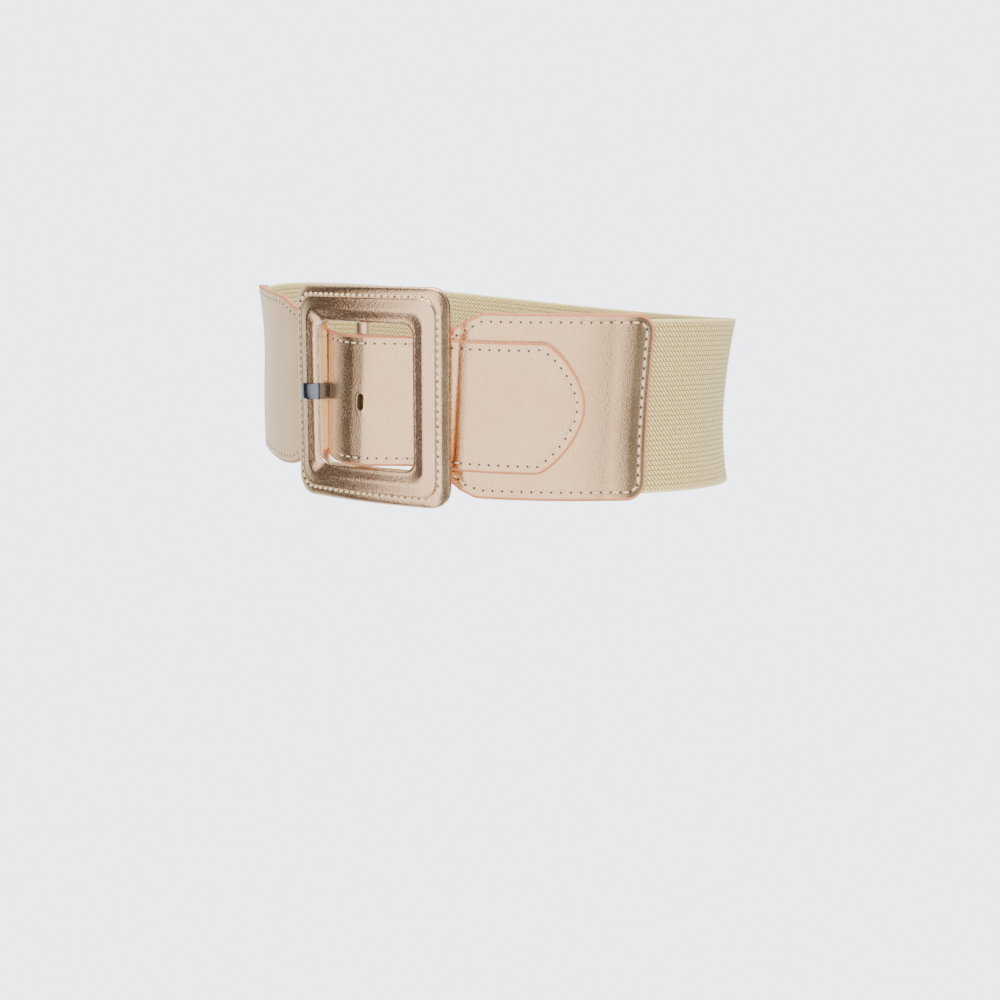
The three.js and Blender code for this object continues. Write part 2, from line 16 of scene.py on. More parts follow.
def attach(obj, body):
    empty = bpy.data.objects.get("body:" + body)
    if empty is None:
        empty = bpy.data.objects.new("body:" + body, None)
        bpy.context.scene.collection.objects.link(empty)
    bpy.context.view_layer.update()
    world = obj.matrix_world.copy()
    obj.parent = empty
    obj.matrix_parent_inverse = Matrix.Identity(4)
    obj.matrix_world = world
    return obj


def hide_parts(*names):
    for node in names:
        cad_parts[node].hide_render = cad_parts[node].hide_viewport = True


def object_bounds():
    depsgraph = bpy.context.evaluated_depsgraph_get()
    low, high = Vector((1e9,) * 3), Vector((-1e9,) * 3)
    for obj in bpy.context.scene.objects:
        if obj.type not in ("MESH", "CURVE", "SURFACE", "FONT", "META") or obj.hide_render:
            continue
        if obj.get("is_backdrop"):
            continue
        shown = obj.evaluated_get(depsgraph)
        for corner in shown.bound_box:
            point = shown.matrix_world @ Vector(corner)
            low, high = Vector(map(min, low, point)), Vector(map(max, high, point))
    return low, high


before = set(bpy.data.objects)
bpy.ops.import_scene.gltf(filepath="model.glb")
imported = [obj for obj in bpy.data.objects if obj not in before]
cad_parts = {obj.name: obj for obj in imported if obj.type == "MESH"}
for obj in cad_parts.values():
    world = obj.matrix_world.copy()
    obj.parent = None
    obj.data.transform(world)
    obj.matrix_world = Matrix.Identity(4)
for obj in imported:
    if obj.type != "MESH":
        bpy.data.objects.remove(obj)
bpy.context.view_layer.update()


# Elastic band. One wide woven elastic, ribbed along its length, with slanting yarns of khaki and
# pale gold over rubber cores. Both raw ends are sewn into the leather panels, so they don't show.

MM = 0.001
PANEL_HEIGHT = 75.0
WAIST_WIDTH = 224.0
WAIST_DEPTH = 160.0
WAIST_SWAY = -0.0116
# Lean of the top and bottom edges and lift of the belt line at the right side, back, left side and
# front, as shares of the panel's height.
WAIST = {
    "top": (0.029, 0.066, 0.066, 0.015),
    "foot": (0.055, 0.044, -0.006, -0.014),
    "lift": (0.031, -0.031, 0.031, -0.031),
}
ELASTIC_HEIGHT = 70.0
ELASTIC_THICK = 1.6
ELASTIC_START = 101.7
RIB_PITCH = 2.0
RIB_DEPTH = 0.34
SELVEDGE = 1.0
SELVEDGE_DEPTH = 0.12
ELASTIC_BEVEL = 0.35
YARN_PITCH = 1.25
YARN_SLANT = (0.79, 0.61)

arc_turn = np.linspace(-math.pi / 2, 1.5 * math.pi, 1441)
arc_steps = np.hypot(
    np.diff(np.cos(arc_turn)) * WAIST_WIDTH / 2, np.diff(np.sin(arc_turn)) * WAIST_DEPTH / 2
)
arc_run = np.concatenate([[0.0], np.cumsum(arc_steps)])
GIRTH = arc_run[-1]


def quarter(name, turn):
    """A row of WAIST in millimetres, on a smooth curve through its four places round the waist."""
    right, back, left, front = (share * PANEL_HEIGHT for share in WAIST[name])
    return (
        (right + back + left + front) / 4
        + (right - left) / 2 * np.cos(turn)
        + (back - front) / 2 * np.sin(turn)
        + (right + left - back - front) / 4 * np.cos(2 * turn)
    )


def on_belt(run, height, out):
    """Places on the band, in metres."""
    turn = np.interp(np.mod(run, GIRTH), arc_run, arc_turn)
    c, s = np.cos(turn), np.sin(turn)
    nx, ny = c / (WAIST_WIDTH / 2), s / (WAIST_DEPTH / 2)
    n = np.hypot(nx, ny)
    q = height / (PANEL_HEIGHT / 2)
    lean = np.where(q > 0, quarter("top", turn), quarter("foot", turn)) * q * q
    lift = quarter("lift", turn) + WAIST_SWAY * PANEL_HEIGHT * np.sin(2 * turn)
    d = out + lean
    x = c * WAIST_WIDTH / 2 + nx / n * d
    y = s * WAIST_DEPTH / 2 + ny / n * d
    return np.stack([x, y, height + lift], -1) * MM


def fresh_mesh(numbers=(), vectors=()):
    """An empty bmesh whose vertices carry these named numbers and vectors."""
    bm = bmesh.new()
    for name in numbers:
        bm.verts.layers.float.new(name)
    for name in vectors:
        bm.verts.layers.float_vector.new(name)
    return bm


def flat_grid(bm, columns, rows):
    """A flat grid in the bmesh; its vertices come back column by column."""
    made = bmesh.ops.create_grid(bm, x_segments=columns - 1, y_segments=rows - 1, size=1.0)["verts"]
    return sorted(made, key=lambda v: (round(v.co.x * 1e5), round(v.co.y * 1e5)))


def place(verts, points):
    """Moves the vertices to these places."""
    for vert, point in zip(verts, points):
        vert.co = point


def mark(bm, verts, name, values):
    """Writes a number or a vector to a named attribute of the vertices."""
    kinds = bm.verts.layers
    layer = (kinds.float if np.ndim(values) == 1 else kinds.float_vector)[name]
    for vert, value in zip(verts, values):
        vert[layer] = float(value) if np.ndim(values) == 1 else Vector(value)


def finished(bm, name, materials):
    """The bmesh as a smooth object with its materials, riding on the belt."""
    mesh = bpy.data.meshes.new(name)
    bm.to_mesh(mesh)
    bm.free()
    mesh.polygons.foreach_set("use_smooth", [True] * len(mesh.polygons))
    for material in materials:
        mesh.materials.append(material)
    obj = bpy.data.objects.new(name, mesh)
    bpy.context.collection.objects.link(obj)
    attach(obj, "root")
    return obj


def new_material(name):
    """A material with its node tree and its Principled shader."""
    material = bpy.data.materials.new(name)
    material.use_nodes = True
    tree = material.node_tree
    shader = tree.nodes["Principled BSDF"]
    return material, tree, shader


def add(tree, kind, settings=None, values=None):
    """A node with its settings and socket values; a value that is a socket is linked."""
    node = tree.nodes.new(kind)
    for key, value in (settings or {}).items():
        setattr(node, key, value)
    for key, value in (values or {}).items():
        if isinstance(value, bpy.types.NodeSocket):
            tree.links.new(value, node.inputs[key])
        else:
            node.inputs[key].default_value = value
    return node


def sums(tree, operation, a, b=0.0, c=0.0):
    """The result of a math node; a value that is a socket is linked."""
    node = add(tree, "ShaderNodeMath", {"operation": operation})
    for k, value in enumerate((a, b, c)):
        if isinstance(value, bpy.types.NodeSocket):
            tree.links.new(value, node.inputs[k])
        else:
            node.inputs[k].default_value = value
    return node.outputs[0]


def blend_colours(tree, factor, a, b):
    """A colour between a at factor 0 and b at factor 1."""
    node = add(tree, "ShaderNodeMix", {"data_type": "RGBA"})
    for key, value in (("Factor_Float", factor), ("A_Color", a), ("B_Color", b)):
        socket = next(s for s in node.inputs if s.identifier == key)
        if isinstance(value, bpy.types.NodeSocket):
            tree.links.new(value, socket)
        else:
            socket.default_value = value if key == "Factor_Float" else (*value, 1.0)
    return next(s for s in node.outputs if s.identifier == "Result_Color")


def ramp(tree, value, low, high):
    """0 below low and 1 above high, eased between."""
    return add(
        tree,
        "ShaderNodeMapRange",
        {"interpolation_type": "SMOOTHSTEP"},
        {"Value": value, "From Min": low, "From Max": high},
    ).outputs["Result"]


def noise(tree, where, scale, detail=2.0):
    """A fine random value from 0 to 1."""
    return add(
        tree, "ShaderNodeTexNoise", values={"Vector": where, "Scale": scale, "Detail": detail}
    ).outputs["Fac"]


def emboss(tree, shader, height, strength, depth):
    """Gives the shader a fine relief, this deep in metres."""
    bump = add(
        tree, "ShaderNodeBump", values={"Height": height, "Strength": strength, "Distance": depth}
    )
    tree.links.new(bump.outputs["Normal"], shader.inputs["Normal"])


def rib_depth(height):
    """How deep the woven surface lies below the rib tops at this height."""
    inside = np.abs(height) < ELASTIC_HEIGHT / 2 - SELVEDGE
    wave = np.abs(np.sin(np.pi * (height + ELASTIC_HEIGHT / 2 - SELVEDGE) / RIB_PITCH))
    return np.where(inside, RIB_DEPTH * (1 - wave**0.7), SELVEDGE_DEPTH)


rib_heights = np.concatenate(
    [
        [-ELASTIC_HEIGHT / 2, -ELASTIC_HEIGHT / 2 + 0.25],
        np.arange(-ELASTIC_HEIGHT / 2 + SELVEDGE, ELASTIC_HEIGHT / 2 - SELVEDGE + 0.01, 0.5),
        [ELASTIC_HEIGHT / 2 - 0.25, ELASTIC_HEIGHT / 2],
    ]
)
outer_out = -rib_depth(rib_heights)
outer_out[[0, -1]] = -ELASTIC_BEVEL
inner_out = -ELASTIC_THICK + rib_depth(rib_heights)
inner_out[[0, -1]] = -ELASTIC_THICK + ELASTIC_BEVEL
section_height = np.concatenate([rib_heights, rib_heights[::-1], rib_heights[:1]])
section_out = np.concatenate([outer_out, inner_out[::-1], outer_out[:1]])
band_runs = np.linspace(ELASTIC_START, GIRTH - ELASTIC_START, 150)

bm = fresh_mesh(vectors=["weave"])
verts = flat_grid(bm, len(band_runs), len(section_height))
runs = np.repeat(band_runs, len(section_height))
heights = np.tile(section_height, len(band_runs))
outs = np.tile(section_out, len(band_runs))
place(verts, on_belt(runs, heights, outs))
mark(bm, verts, "weave", np.stack([runs, heights, outs], -1))
bmesh.ops.remove_doubles(bm, verts=bm.verts, dist=1e-6)
ends = [e for e in bm.edges if e.is_boundary]
bmesh.ops.holes_fill(bm, edges=ends, sides=0)
bmesh.ops.recalc_face_normals(bm, faces=bm.faces)

elastic, tree, shader = new_material("woven_elastic")
weave = add(tree, "ShaderNodeAttribute", {"attribute_name": "weave"})
parts = add(tree, "ShaderNodeSeparateXYZ", values={0: weave.outputs["Vector"]})
run_at, height_at = parts.outputs["X"], parts.outputs["Y"]
wobble = noise(tree, weave.outputs["Vector"], 0.6, 3.0)
along_yarn = sums(tree, "MULTIPLY", run_at, YARN_SLANT[0])
slant = sums(tree, "ADD", along_yarn, sums(tree, "MULTIPLY", height_at, YARN_SLANT[1]))
slant = sums(tree, "ADD", slant, sums(tree, "MULTIPLY", wobble, 0.9))
yarn = sums(tree, "SINE", sums(tree, "MULTIPLY", slant, 2 * math.pi / YARN_PITCH))
yarn = sums(tree, "MULTIPLY_ADD", yarn, 0.5, 0.5)
rib = sums(tree, "SINE", sums(tree, "MULTIPLY", height_at, math.pi / RIB_PITCH))
rib = sums(tree, "ABSOLUTE", rib)
fibres = noise(tree, weave.outputs["Vector"], 4.0, 4.0)
from_middle = sums(tree, "ABSOLUTE", height_at)
edge_strip = ramp(tree, from_middle, ELASTIC_HEIGHT / 2 - 1.3, ELASTIC_HEIGHT / 2 - 0.9)
# The valleys between the ribs take the dark colour as painted shade; on the rib tops the slanting
# yarns show dark khaki and pale gold.
yarn_and_valleys = sums(tree, "MULTIPLY", ramp(tree, yarn, 0.1, 0.85), ramp(tree, rib, 0.0, 0.55))
yarn_and_valleys = sums(tree, "MAXIMUM", yarn_and_valleys, sums(tree, "MULTIPLY", edge_strip, 0.85))
colour = blend_colours(tree, yarn_and_valleys, (0.33, 0.22, 0.075), (1.0, 0.80, 0.34))
speck = ramp(tree, fibres, 0.35, 0.7)
colour = blend_colours(tree, sums(tree, "MULTIPLY", speck, 0.16), colour, (1.0, 0.81, 0.45))
tree.links.new(colour, shader.inputs["Base Color"])
shader.inputs["Metallic"].default_value = 0.1
shader.inputs["Roughness"].default_value = 0.55
shader.inputs["Sheen Weight"].default_value = 0.05
relief = sums(tree, "ADD", sums(tree, "MULTIPLY", yarn_and_valleys, 0.8), sums(tree, "MULTIPLY", speck, 0.3))
emboss(tree, shader, relief, 0.8, 0.00022)
elastic_band = finished(bm, "elastic_band_woven", [elastic])
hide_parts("elastic_band")


# Right leather panel. Metallic rose-gold faux leather over a filler and a plain backing, sewn all
# round with cream thread, its raw edges sealed with peach paint. The elastic's end lies inside its
# far end, and its narrow end folds round the buckle's bar.

PANEL_REACH = 113.7
PANEL_CORNER = 8.0
FRAME_STAND = 5.3
FRAME_HALF = 38.1
EDGE_ROUND = 1.1
PANEL_STITCH = 3.6
PANEL_THREAD = {"pitch": 3.9, "length": 2.9, "width": 0.8, "proud": 0.28}
PANEL_SEAM_START = 8.0
FRONT_HOLE = 0.95
BACK_HOLE = 0.7
HALF_PANEL = PANEL_HEIGHT / 2
SEAM_DEPTH = 0.22
SEAM_SPREAD = 0.55
# The buckle's right rail presses the leather down beside it: where, how deep, how far round, and
# how much of that the panel below takes.
PRESS_RUN = 36.0
PRESS_DEPTH = 1.35
PRESS_REACH = 5.0
PRESS_BELOW = 0.8
# From the fold at the bar to the far end: outer and inner faces as shares of the buckle's stand,
# and half the height as a share of half the panel's.
BAR_PANEL = [
    # at, out, inner, half
    (-0.269, 1.200, 0.640, 0.653),
    (-0.251, 1.420, 0.440, 0.653),
    (-0.215, 1.510, 0.350, 0.653),
    (-0.143, 1.520, 0.340, 0.653),
    (-0.030, 1.500, 0.300, 0.653),
    (0.090, 1.370, 0.190, 0.653),
    (0.224, 1.090, 0.040, 0.653),
    (0.367, 0.700, -0.120, 0.656),
    (0.469, 0.400, -0.240, 0.666),
    (0.567, 0.290, -0.264, 0.690),
    (0.716, 0.280, -0.264, 0.765),
    (0.895, 0.280, -0.264, 0.855),
    (1.052, 0.300, -0.264, 0.960),
    (1.098, 0.290, -0.264, 0.997),
    (1.143, 0.280, -0.264, 1.000),
    (1.699, 0.230, -0.264, 1.000),
    (1.774, 0.230, -0.490, 1.000),
    (1.835, 0.300, -0.566, 1.000),
    (1.895, 0.330, -0.566, 1.000),
    (1.947, 0.270, -0.566, 1.000),
    (2.000, 0.270, -0.566, 1.000),
]


def smooth_column(rows, number, at):
    """A column of a table on a smooth curve that never overshoots its rows."""
    xs = np.array([row[0] for row in rows])
    ys = np.array([row[number] for row in rows])
    rise = np.diff(ys) / np.diff(xs)
    slope = np.zeros(len(xs))
    for k in range(1, len(xs) - 1):
        before, after = rise[k - 1], rise[k]
        slope[k] = 0.0 if before * after <= 0 else 2 * before * after / (before + after)
    at = np.clip(at, xs[0], xs[-1])
    i = np.clip(np.searchsorted(xs, at, side="left") - 1, 0, len(xs) - 2)
    span = xs[i + 1] - xs[i]
    f = (at - xs[i]) / span
    return (
        ys[i] * (2 * f**3 - 3 * f**2 + 1)
        + ys[i + 1] * (3 * f**2 - 2 * f**3)
        + slope[i] * span * (f**3 - 2 * f**2 + f)
        + slope[i + 1] * span * (f**3 - f**2)
    )


def place_along(run):
    """1 at the buckle frame's side and 2 at a panel's far end."""
    far = np.abs(run)
    beyond = 1 + (far - FRAME_HALF) / (PANEL_REACH - FRAME_HALF)
    return np.sign(run) * np.where(far <= FRAME_HALF, far / FRAME_HALF, beyond)


def corner_cut(left):
    """How much of the height a round corner takes, this far from the panel's end."""
    inside = np.clip(PANEL_CORNER - left, 0, PANEL_CORNER)
    return PANEL_CORNER - np.sqrt(PANEL_CORNER**2 - inside**2)


def outline_distance(points, outline):
    """Distance of each point to a closed outline, both in run and height."""
    best = np.full(len(points), 1e9)
    for start, end in zip(outline, np.roll(outline, -1, axis=0)):
        edge = end - start
        length = edge @ edge
        if length < 1e-12:
            continue
        f = np.clip((points - start) @ edge / length, 0, 1)
        best = np.minimum(best, np.linalg.norm(points - start - f[:, None] * edge, axis=1))
    return best


# Rows of vertices, in millimetres from an edge and from a panel's end: close together on the rim
# and at the seam.
EDGE_ROWS = [0.0, 0.12, 0.32, 0.6, 0.95, 1.4, 1.9, 2.4, 2.8, 3.2, 3.6, 4.0, 4.4, 4.9, 5.8, 7.2]
END_ROWS = np.array(
    [0, 0.12, 0.3, 0.55, 0.85, 1.2, 1.6, 2.1, 2.6, 3.1, 3.5, 3.9]
    + [4.3, 4.7, 5.2, 5.8, 6.4, 7.2, 8, 8.8, 9.8, 10.8, 11.8, 13]
)


def leather_sheet(stations, foot, top, out, inner, round_edge, stitch, extra_rows=(), dents=None):
    """A leather piece on the band: its front with a rounded rim and a pulled-in seam, its back, and
    the wall between them. Gives the bmesh and the outline in run and height."""
    outline = np.concatenate([np.stack([stations, foot], -1), np.stack([stations, top], -1)[::-1]])
    edge_share = EDGE_ROWS[-1] / HALF_PANEL
    middle = np.linspace(edge_share, 2 - edge_share, 26)[1:-1] - 1
    shares = np.unique(np.round(np.concatenate([middle, np.array(extra_rows) / HALF_PANEL]), 4))
    centre, half = (top + foot) / 2, (top - foot) / 2
    squeeze = np.minimum(1, half / 15)
    columns = []
    for c, h, s in zip(centre, half, squeeze):
        rim = np.array(EDGE_ROWS) * s
        reach = (h - rim[-1]) / (1 - edge_share)
        columns.append(np.concatenate([c - h + rim, c + shares * reach, (c + h - rim)[::-1]]))
    heights = np.array(columns)
    n, rows = heights.shape
    runs = np.repeat(stations, rows)
    flat = np.stack([runs, heights.ravel()], -1)
    inset = outline_distance(flat, outline)
    beside = np.maximum(round_edge - inset, 0)
    fall = round_edge - np.sqrt(np.maximum(round_edge**2 - beside**2, 0))
    seam = SEAM_DEPTH * np.exp(-(((inset - stitch) / SEAM_SPREAD) ** 2))
    front_out = np.repeat(out, rows) - fall - seam
    if dents is not None:
        front_out = front_out + dents(flat)
    bm = fresh_mesh(numbers=["inset"])
    front = flat_grid(bm, n, rows)
    back = flat_grid(bm, n, rows)
    place(front, on_belt(flat[:, 0], flat[:, 1], front_out))
    place(back, on_belt(flat[:, 0], flat[:, 1], np.repeat(inner, rows) + fall * 0.55))
    mark(bm, front, "inset", inset)
    mark(bm, back, "inset", np.minimum(inset, 0.3))
    back_set = set(back)
    back_faces = [f for f in bm.faces if f.verts[0] in back_set]
    bmesh.ops.reverse_faces(bm, faces=back_faces)
    for face in back_faces:
        face.material_index = 1
    bmesh.ops.bridge_loops(bm, edges=[e for e in bm.edges if e.is_boundary])
    return bm, outline


def opened(line):
    """A ring of points, turned so that it starts after its widest gap."""
    gaps = np.linalg.norm(np.diff(line, axis=0, append=line[:1]), axis=1)
    return np.roll(line, -(int(np.argmax(gaps)) + 1), axis=0)


def seam_path(outline, inset, keep):
    """The line that runs this far inside a closed outline, in the stretch that keep allows."""
    dense = []
    for start, end in zip(outline, np.roll(outline, -1, axis=0)):
        count = max(1, int(np.linalg.norm(end - start) / 0.5))
        dense.extend(start + (end - start) * k / count for k in range(count))
    dense = np.array(dense)
    ahead = np.roll(dense, -3, axis=0) - np.roll(dense, 3, axis=0)
    ahead /= np.linalg.norm(ahead, axis=1)[:, None] + 1e-9
    inward = np.stack([-ahead[:, 1], ahead[:, 0]], -1)
    line = dense + inward * inset
    inside = outline_distance(line, outline) > inset - 0.08
    return opened(line[inside & keep(line)])


def evenly(line, pitch):
    """Points a pitch apart along a line, with the direction of the line at each."""
    lengths = np.concatenate([[0], np.cumsum(np.linalg.norm(np.diff(line, axis=0), axis=1))])
    count = int(lengths[-1] / pitch)
    at = (lengths[-1] - count * pitch) / 2 + pitch * (np.arange(count) + 0.5)
    before, spots, after = (
        np.stack([np.interp(at + shift, lengths, column) for column in line.T], -1)
        for shift in (-0.6, 0.0, 0.6)
    )
    ahead = after - before
    return spots, ahead / np.linalg.norm(ahead, axis=1)[:, None]


def leather_face(runs, outs, facing):
    """The front (1) or the back (-1) of a leather piece, as a surface to sew on."""

    def surface(point, lift):
        out = np.interp(point[0], runs, outs)
        return on_belt(point[0], point[1], out + facing * (lift - 0.05))

    return surface


def sewn_line(name, line, surface, slot_name, hole, pitch, length, width, proud, twist=0.0):
    """Thread stitches along a line with a near-black disc of painted shade for the needle hole
    between each two; surface gives the place in metres of a point of the line, this far in front of
    the leather."""
    spots, ahead = evenly(line, pitch)
    bm = bmesh.new()
    aside = np.stack([-ahead[:, 1], ahead[:, 0]], -1)
    c, s = math.cos(twist), math.sin(twist)
    direction = ahead * c + aside * s
    for k in range(len(spots)):
        here = Vector(surface(spots[k], 0.0))
        along = (Vector(surface(spots[k] + direction[k] * 0.5, 0.0)) - here).normalized()
        up = (Vector(surface(spots[k], 1.0)) - here).normalized()
        side = up.cross(along).normalized()
        up = along.cross(side)
        turned = Matrix((along, side, up)).transposed().to_4x4()
        size = Matrix.Diagonal((length / 2 * MM, width / 2 * MM, proud * MM, 1))
        where = Matrix.Translation(here)
        bmesh.ops.create_uvsphere(
            bm, u_segments=8, v_segments=6, radius=1.0, matrix=where @ turned @ size
        )
        # A near-black disc of painted shade stands for each needle hole.
        tip = Vector(surface(spots[k] + ahead[k] * pitch / 2, 0.05))
        ring = bmesh.ops.create_circle(
            bm,
            cap_ends=True,
            segments=8,
            radius=hole / 2 * MM,
            matrix=Matrix.Translation(tip) @ turned,
        )["verts"]
        for face in {f for v in ring for f in v.link_faces}:
            face.material_index = 1
    return finished(bm, name, [thread, painted_hole_shade])


# Grain of the metallic leather, shared by the panels, the strap and the buckle's cover.
grain = bpy.data.node_groups.new("leather_grain", "ShaderNodeTree")
grain.interface.new_socket("Vector", in_out="INPUT", socket_type="NodeSocketVector")
grain.interface.new_socket("Pebbles per metre", in_out="INPUT", socket_type="NodeSocketFloat")
grain.interface.new_socket("Height", in_out="OUTPUT", socket_type="NodeSocketFloat")
grain.interface.new_socket("Fleck", in_out="OUTPUT", socket_type="NodeSocketFloat")
grain.interface.new_socket("Mottle", in_out="OUTPUT", socket_type="NodeSocketFloat")
group_in = grain.nodes.new("NodeGroupInput")
group_out = grain.nodes.new("NodeGroupOutput")
pebbles = add(
    grain,
    "ShaderNodeTexVoronoi",
    {"feature": "SMOOTH_F1"},
    {
        "Vector": group_in.outputs["Vector"],
        "Scale": group_in.outputs["Pebbles per metre"],
        "Smoothness": 0.6,
    },
)
creases = add(
    grain,
    "ShaderNodeTexNoise",
    values={"Vector": group_in.outputs["Vector"], "Scale": 900.0, "Detail": 5.0, "Roughness": 0.65},
)
height = sums(
    grain,
    "ADD",
    sums(grain, "MULTIPLY", pebbles.outputs["Distance"], -0.8),
    creases.outputs["Fac"],
)
flecks = noise(grain, group_in.outputs["Vector"], 2600.0)
mottle = add(
    grain,
    "ShaderNodeTexNoise",
    values={"Vector": group_in.outputs["Vector"], "Scale": 60.0, "Detail": 4.0, "Roughness": 0.55},
)
grain.links.new(height, group_out.inputs["Height"])
grain.links.new(ramp(grain, flecks, 0.42, 0.72), group_out.inputs["Fleck"])
grain.links.new(ramp(grain, mottle.outputs["Fac"], 0.3, 0.7), group_out.inputs["Mottle"])


def metallic_leather(name, light, deep, pebbles_per_metre, relief_depth, rim_from, rim_to, wall=None):
    """Foil-faced leather with peach edge paint on its rim, by the inset attribute, and from this far
    across a rail a painted highlight in a paler colour."""
    material, tree, shader = new_material(name)
    where = add(tree, "ShaderNodeTexCoord")
    skin = add(
        tree,
        "ShaderNodeGroup",
        {"node_tree": grain},
        {"Vector": where.outputs["Object"], "Pebbles per metre": pebbles_per_metre},
    )
    colour = blend_colours(tree, skin.outputs["Mottle"], deep, light)
    glint = sums(tree, "MULTIPLY", skin.outputs["Fleck"], 0.34)
    colour = blend_colours(tree, glint, colour, (1.0, 0.80, 0.60))
    # The foil is thin in the creases between the pebbles.
    crease = noise(tree, where.outputs["Object"], 1300.0)
    thin = sums(tree, "MULTIPLY", ramp(tree, crease, 0.48, 0.66), 0.42)
    colour = blend_colours(tree, thin, colour, (0.58, 0.36, 0.19))
    # Painted highlight: from wall across the rail on, the window's inner lip and wall are painted a
    # pale cream.
    if wall is not None:
        across = add(tree, "ShaderNodeAttribute", {"attribute_name": "across"}).outputs["Fac"]
        colour = blend_colours(tree, ramp(tree, across, wall, wall + 0.4), colour, (0.93, 0.82, 0.66))
    rough = sums(tree, "MULTIPLY_ADD", skin.outputs["Mottle"], 0.04, 0.20)
    rough = sums(tree, "ADD", rough, sums(tree, "MULTIPLY", skin.outputs["Fleck"], 0.06))
    inset = add(tree, "ShaderNodeAttribute", {"attribute_name": "inset"}).outputs["Fac"]
    rim = sums(tree, "SUBTRACT", 1.0, ramp(tree, inset, rim_from, rim_to))
    smear = noise(tree, where.outputs["Object"], 400.0, 3.0)
    paint = blend_colours(tree, smear, (0.56, 0.175, 0.06), (0.72, 0.265, 0.115))
    tree.links.new(blend_colours(tree, rim, colour, paint), shader.inputs["Base Color"])
    foil = sums(tree, "MULTIPLY", sums(tree, "SUBTRACT", 1.0, rim), 0.98)
    tree.links.new(foil, shader.inputs["Metallic"])
    tree.links.new(sums(tree, "MULTIPLY_ADD", rim, 0.22, rough), shader.inputs["Roughness"])
    emboss(tree, shader, skin.outputs["Height"], 0.8, relief_depth)
    return material


def fibrous(name, scale, detail, dark, light, roughness, depth=None):
    """A dull material with a fine mottle, such as felt or thread, in relief if it has a depth."""
    material, tree, shader = new_material(name)
    fibre = noise(tree, add(tree, "ShaderNodeTexCoord").outputs["Object"], scale, detail)
    tree.links.new(blend_colours(tree, fibre, dark, light), shader.inputs["Base Color"])
    shader.inputs["Roughness"].default_value = roughness
    if depth is not None:
        emboss(tree, shader, fibre, 0.5, depth)
    return material


rose_gold = metallic_leather(
    "rose_gold_leather",
    light=(0.90, 0.560, 0.320),
    deep=(0.83, 0.495, 0.265),
    pebbles_per_metre=1900.0,
    relief_depth=0.00009,
    rim_from=0.9,
    rim_to=1.5,
)
backing = fibrous(
    "panel_backing", 1400.0, 6.0, (0.50, 0.40, 0.29), (0.70, 0.59, 0.46), 0.8, depth=0.00012
)
thread = fibrous(
    "cream_thread", 3200.0, 3.0, (0.80, 0.60, 0.35), (0.97, 0.80, 0.54), 0.5, depth=0.0001
)
# Near-black painted shade for the needle holes between stitches and the walls of the punched slots.
painted_hole_shade = fibrous("painted_hole_shade", 3000.0, 2.0, (0.03, 0.02, 0.012), (0.12, 0.08, 0.05), 0.9)


def pressed(run):
    """How far the buckle's right rail presses the leather beside it down."""
    return PRESS_DEPTH * np.clip(1 - np.abs(run - PRESS_RUN) / PRESS_REACH, 0, 1) ** 1.3


right_runs = np.concatenate(
    [
        np.array([-0.269, -0.262, -0.251, -0.235, -0.215, -0.18, -0.143]) * FRAME_HALF,
        np.arange(-4.4, 99.5, 1.2),
        PANEL_REACH - END_ROWS[::-1],
    ]
)
at = place_along(right_runs)
half = smooth_column(BAR_PANEL, 3, at) * PANEL_HEIGHT / 2 - corner_cut(PANEL_REACH - right_runs)
right_out = smooth_column(BAR_PANEL, 1, at) * FRAME_STAND - PRESS_BELOW * pressed(right_runs)
right_inner = smooth_column(BAR_PANEL, 2, at) * FRAME_STAND
bm, right_outline = leather_sheet(
    right_runs, -half, half, right_out, right_inner, EDGE_ROUND, PANEL_STITCH
)
bar_panel = finished(bm, "bar_panel_leather", [rose_gold, backing])
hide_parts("bar_panel")

right_seam = seam_path(right_outline, PANEL_STITCH, lambda line: line[:, 0] > PANEL_SEAM_START)
right_front = leather_face(right_runs, right_out, 1)
right_back = leather_face(right_runs, right_inner, -1)
for name, face, hole in (
    ("bar_panel_stitches", right_front, FRONT_HOLE),
    ("bar_panel_back_stitches", right_back, BACK_HOLE),
):
    sewn_line(name, right_seam, face, "panel_leather", hole, **PANEL_THREAD)


# Buckle frame. A stiff rounded rectangle bent to the body, padded, covered in the same leather and
# sewn all round near its outer edge; the padding makes one broad ridge on each rail.

FRAME_HEIGHT = 88.8
FRAME_CORNER = 7.8
WINDOW_CORNER = 4.5
RAIL_WIDTH = 14.8
RAIL_THICK = 7.0
FRAME_CURVE = 157.0
FRAME_SIDE = -2.1
FRAME_RAISE = -0.4
FRAME_LEAN = math.radians(1.25)
FRAME_ROLL = math.radians(2.5)
CORNER_STEPS, TOP_STEPS, SIDE_STEPS = 9, 30, 36
SECTION_POINTS = 84
# Where the painted highlight on the window's inner lip and wall begins, in millimetres across the
# rail.
PAINTED_HIGHLIGHT_START = 14.2
MITRE = 4.0
BUCKLE_STITCH = 3.9
BUCKLE_STITCH_CORNER = FRAME_CORNER - 2.2
BUCKLE_HOLE = 1.05
GROOVE_HIGH = 0.665
BUCKLE_THREAD = {"pitch": 3.0, "length": 2.35, "width": 1.5, "proud": 0.8, "twist": 0.3}
